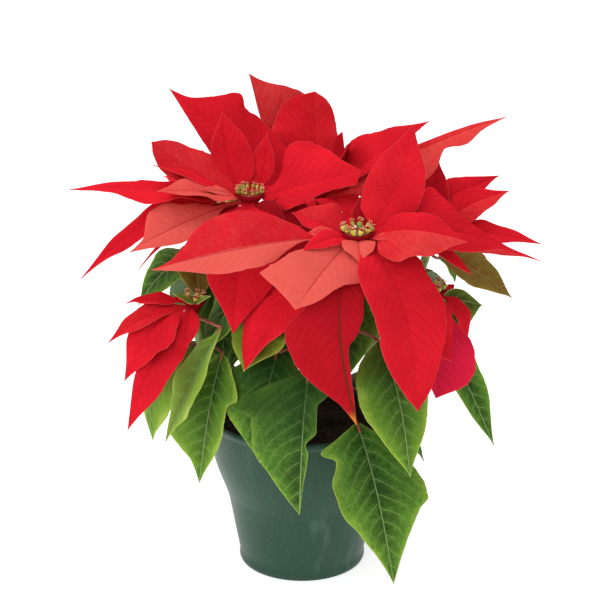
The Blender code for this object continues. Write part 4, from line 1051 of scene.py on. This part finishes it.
def ringBuild(tree, given):
    # cups on a ring round the middle, leaning outwards, each a little different
    ring = tree.add("GeometryNodeMeshCircle", inputs={"Vertices": given["Count"], "Radius": given["Ring"]})
    across, back = tree.parts(tree.add("GeometryNodeInputPosition"))[:2]

    def chance(low, high, number):
        return tree.chance(low, high, given["Seed"] + number)

    shift = tree.vector(
        chance(-0.13, 0.13, 1) * given["Ring"], chance(-0.13, 0.13, 2) * given["Ring"],
        chance(-0.35, 0.35, 3) * given["Size"],
    )
    loose = tree.add("GeometryNodeSetPosition", inputs={0: ring, "Offset": shift})
    way = tree.maths("ARCTAN2", back, across)
    lean = given["Lean"] + chance(-0.22, 0.22, 5)
    lean = tree.vector(chance(-0.25, 0.25, 4), lean, way + chance(-0.5, 0.5, 6))
    size = given["Size"] * chance(0.78, 1.14, 7)
    inputs = {0: loose, "Instance": given["Mesh"], "Rotation": lean, "Scale": size}
    cups = tree.add("GeometryNodeInstanceOnPoints", inputs=inputs)
    settings = {"data_type": "FLOAT", "domain": "INSTANCE"}
    inputs = {0: cups, "Name": "own", 3: chance(0.0, 1.0, 8)}
    varied = tree.add("GeometryNodeStoreNamedAttribute", settings, inputs)
    return tree.add("GeometryNodeTransform", inputs={0: varied, "Translation": given["Middle"]})


cupLook = {
    "green": (0.22, 0.30, 0.035), "light": (0.56, 0.55, 0.09), "lip": (0.52, 0.05, 0.015),
    "gland": (0.70, 0.48, 0.07), "stem": (0.50, 0.012, 0.01), "anther": (0.82, 0.42, 0.20),
    "disc": (0.42, 0.012, 0.012), "discGreen": (0.20, 0.03, 0.01), "bump": 0.00012,
}


def cupBuild(tree):
    place, own, part = tree.place(), tree.field("own"), tree.field("part")
    fine, broad = tree.noise(place, 1100.0, 2.0), tree.noise(place, 330.0, 2.0)

    def reached(name):
        # 1 from this part on
        return part.ramp(cupParts[name] - 0.6, cupParts[name] - 0.4)

    colour = tree.layered(
        cupLook, "green", ((broad * 0.7 + own * 0.5).ramp(0.35, 0.85), "light"),
        (part.ramp(0.3, 1.0) * (broad + own * 0.4).ramp(0.2, 0.6), "lip"),
        *((reached(name), name) for name in ("gland", "stem", "anther")),
    )
    disc = tree.layered(cupLook, "disc", (broad.ramp(0.35, 0.65), "discGreen"))
    colour = tree.mix(reached("disc"), colour, disc)
    return {"Base Color": colour, "Roughness": 0.28 + fine * 0.2, "Normal": tree.bump(fine, cupLook["bump"])}


cupShine = {"Specular IOR Level": 0.5, "Coat Weight": 0.15, "Coat Roughness": 0.2}
cupFinish = finishNamed("flower cups", cupBuild, cupShine)
ringTree = newTree("cupRing", {
    "Count": "Int", "Ring": "Float", "Size": "Float", "Lean": "Float", "Middle": "Vector", "Seed": "Int",
}, ringBuild)


def discMesh(name, ring, middle):
    # the low knobbly disc that the cups stand on
    profile = [(ring * 0.96, -5.2), (ring * 1.02, -3.6), (ring * 0.96, -2.4)]
    profile += [(ring * share, -2.0 - 0.8 * (1 - share)) for share in (0.8, 0.62, 0.45, 0.3, 0.16, 0.05)]
    points, faces = turnedShell(profile, 28)
    turn, far = np.arctan2(points[:, 1], points[:, 0]), np.hypot(points[:, 0], points[:, 1]) / ring
    points[:, 2] += 0.5 * np.sin(turn * 7 + far * 9) * np.sin(far * 14 + turn * 3) * (far < 0.9)
    return meshOf(name, (points + middle) * mm, faces, part=np.full(len(points), cupParts["disc"]))


def together(name, *meshes):
    both = bmesh.new()
    for mesh in meshes:
        both.from_mesh(mesh)
    result = bpy.data.meshes.new(name)
    both.to_mesh(result)
    both.free()
    result.shade_smooth()
    return result


for order, (name, (middle, ring)) in enumerate(heads.items()):
    plain = min(cupForm["largest"], ring * cupForm["share"])
    count = max(cupForm["fewest"], round(math.tau * ring / (plain * cupForm["spacing"])))
    count, ring, size, lean = cupForm["rows"].get(name, (count, ring, plain, cupForm["lean"]))
    cups = grown("cyathiaFine_" + name, cupMesh(), ringTree, {
        "Count": count, "Ring": ring * mm, "Size": size * mm, "Lean": lean,
        "Middle": tuple(np.array(middle) * mm), "Seed": 20 + order, "Finish": cupFinish,
    })
    mesh = together("cyathiaFine_" + name, cups, discMesh(name + "Disc", ring, middle))
    addPiece("cyathiaFine_" + name, mesh, cupFinish, "cyathia_" + name)

# the soil: a closed body that fills the pot, with a bumpy top and loose crumbs
soilForm = {
    "top": 121.6, "relief": 1.5, "steps": 96, "crumbs": 950, "crumbSize": 0.0013, "seed": 4,
    "side": ((49.8, 3.4), (52.0, 9.0), (61.3, 60.0), (64.7, 71.0), (72.2, 93.0), (76.2, 112.0), (77.4, 119.6),
             (77.2, 121.2)),
    "rings": (0.95, 0.88, 0.8, 0.72, 0.64, 0.56, 0.48, 0.4, 0.32, 0.24, 0.16, 0.08),
    "smallest": (0.45, 0.45, 0.35), "largest": (1.6, 1.4, 1.1), "turns": (3.0, 3.0, 6.0),
}


def soilMesh():
    outer, top = soilForm["side"][-1][0], soilForm["top"]
    profile = [*soilForm["side"], *((outer * share, top) for share in soilForm["rings"])]
    points, faces = turnedShell(profile, soilForm["steps"])
    x, y, z = points.T
    bumps = np.sin(x * 0.31 + 1) * np.sin(y * 0.27 + 2)
    bumps += 0.6 * np.sin(x * 0.83 + y * 0.4) * np.sin(y * 0.9 - x * 0.3)
    points[:, 2] += soilForm["relief"] * 0.5 * bumps * (np.hypot(x, y) < outer * 0.97) * (z > top - 1)
    return meshOf("soil", points * mm, faces)


def crumbBuild(tree, given):
    height = tree.parts(tree.add("GeometryNodeInputPosition"))[2]
    top = tree.maths("GREATER_THAN", height, given["Above"])
    scattered = tree.add("GeometryNodeDistributePointsOnFaces", inputs={
        0: given["Mesh"], "Selection": top, "Density": given["Density"], "Seed": given["Seed"],
    })
    ball = tree.add("GeometryNodeMeshIcoSphere", inputs={"Radius": given["Size"], "Subdivisions": 1})
    size = tree.chance(soilForm["smallest"], soilForm["largest"], given["Seed"])
    turn = tree.chance((0, 0, 0), soilForm["turns"], given["Seed"] + 1)
    inputs = {0: scattered, "Instance": ball, "Rotation": turn, "Scale": size}
    return tree.add("GeometryNodeInstanceOnPoints", inputs=inputs)


soilLook = {"dark": (0.010, 0.007, 0.005), "brown": (0.045, 0.028, 0.017)}


def soilBuild(tree):
    place = tree.place()
    grain, clod = tree.noise(place, 420.0, 4.0), tree.noise(place, 120.0)
    colour = tree.layered(soilLook, "dark", ((grain * 0.6 + clod * 0.5).ramp(0.4, 0.75), "brown"))
    return {"Base Color": colour, "Roughness": 0.85 + grain * 0.1, "Normal": tree.bump(grain + clod, 0.0009)}


soilFinish = finishNamed("potting soil", soilBuild, {"Specular IOR Level": 0.2})
crumbKinds = {"Above": "Float", "Density": "Float", "Size": "Float", "Seed": "Int"}
crumbTree = newTree("crumbs", crumbKinds, crumbBuild)
body = soilMesh()
area = math.pi * (soilForm["side"][-1][0] * mm) ** 2
crumbs = grown("crumbs", body, crumbTree, {
    "Above": (soilForm["top"] - 2) * mm, "Density": soilForm["crumbs"] / area, "Size": soilForm["crumbSize"],
    "Seed": soilForm["seed"], "Finish": soilFinish,
})
addPiece("soilFine", together("soilFine", body, crumbs), soilFinish, "soil")

# camera, fitted to the photo, and plain studio light
view = {"place": (0, -1.45, 0.755), "down": 19.7, "lens": 110.3, "sensor": 36, "shift": -2 / 600}
camera = bpy.data.objects.new("camera", bpy.data.cameras.new("camera"))
camera.location = view["place"]
camera.rotation_euler = (math.radians(90 - view["down"]), 0, 0)
camera.data.lens, camera.data.sensor_width, camera.data.shift_x = view["lens"], view["sensor"], view["shift"]
scene.collection.objects.link(camera)
scene.camera = camera

# the floor, the light from all around, and the place, aim, size and power of each lamp
studio = {
    "floor": (0.90, 0.90, 0.90), "floorHalf": 9, "glow": 0.62, "world": (0.98, 0.99, 1.0),
    "worldStrength": 0.78, "lights": {
        "overhead": ((-0.35, 0.25, 1.5), (0, 0, 0.25), 0.9, 5.5),
        "front": ((-0.5, -1.7, 1.2), (0, 0, 0.2), 1.4, 11),
        "side": ((-1.4, -0.4, 0.7), (0, 0, 0.2), 1.0, 3),
    },
}


def floorBuild(tree):
    darker = [value * 0.98 for value in studio["floor"]]
    pale = tree.mix(tree.noise(tree.place(), 3.0), studio["floor"], darker)
    return {"Base Color": pale, "Emission Color": pale}


corners = np.array(((-1, -1, 0), (1, -1, 0), (1, 1, 0), (-1, 1, 0)))
floorMesh = meshOf("floor", corners * studio["floorHalf"], [(0, 1, 2, 3)])
floor = bpy.data.objects.new("floor", floorMesh)
scene.collection.objects.link(floor)
floorMesh.materials.append(finishNamed("pale floor", floorBuild, {
    "Roughness": 0.8, "Specular IOR Level": 0.2, "Emission Strength": studio["glow"],
}))
for name, (place, aim, size, power) in studio["lights"].items():
    light = bpy.data.objects.new(name, bpy.data.lights.new(name, "AREA"))
    light.data.shape, light.data.size, light.data.energy = "SQUARE", size, power
    light.location = place
    light.rotation_euler = (Vector(aim) - Vector(place)).to_track_quat("-Z", "Y").to_euler()
    scene.collection.objects.link(light)
world = bpy.data.worlds.new("studio")
scene.world = world
world.use_nodes = True
world.node_tree.nodes["Background"].inputs["Color"].default_value = (*studio["world"], 1)
world.node_tree.nodes["Background"].inputs["Strength"].default_value = studio["worldStrength"]
scene.view_settings.view_transform = "Standard"
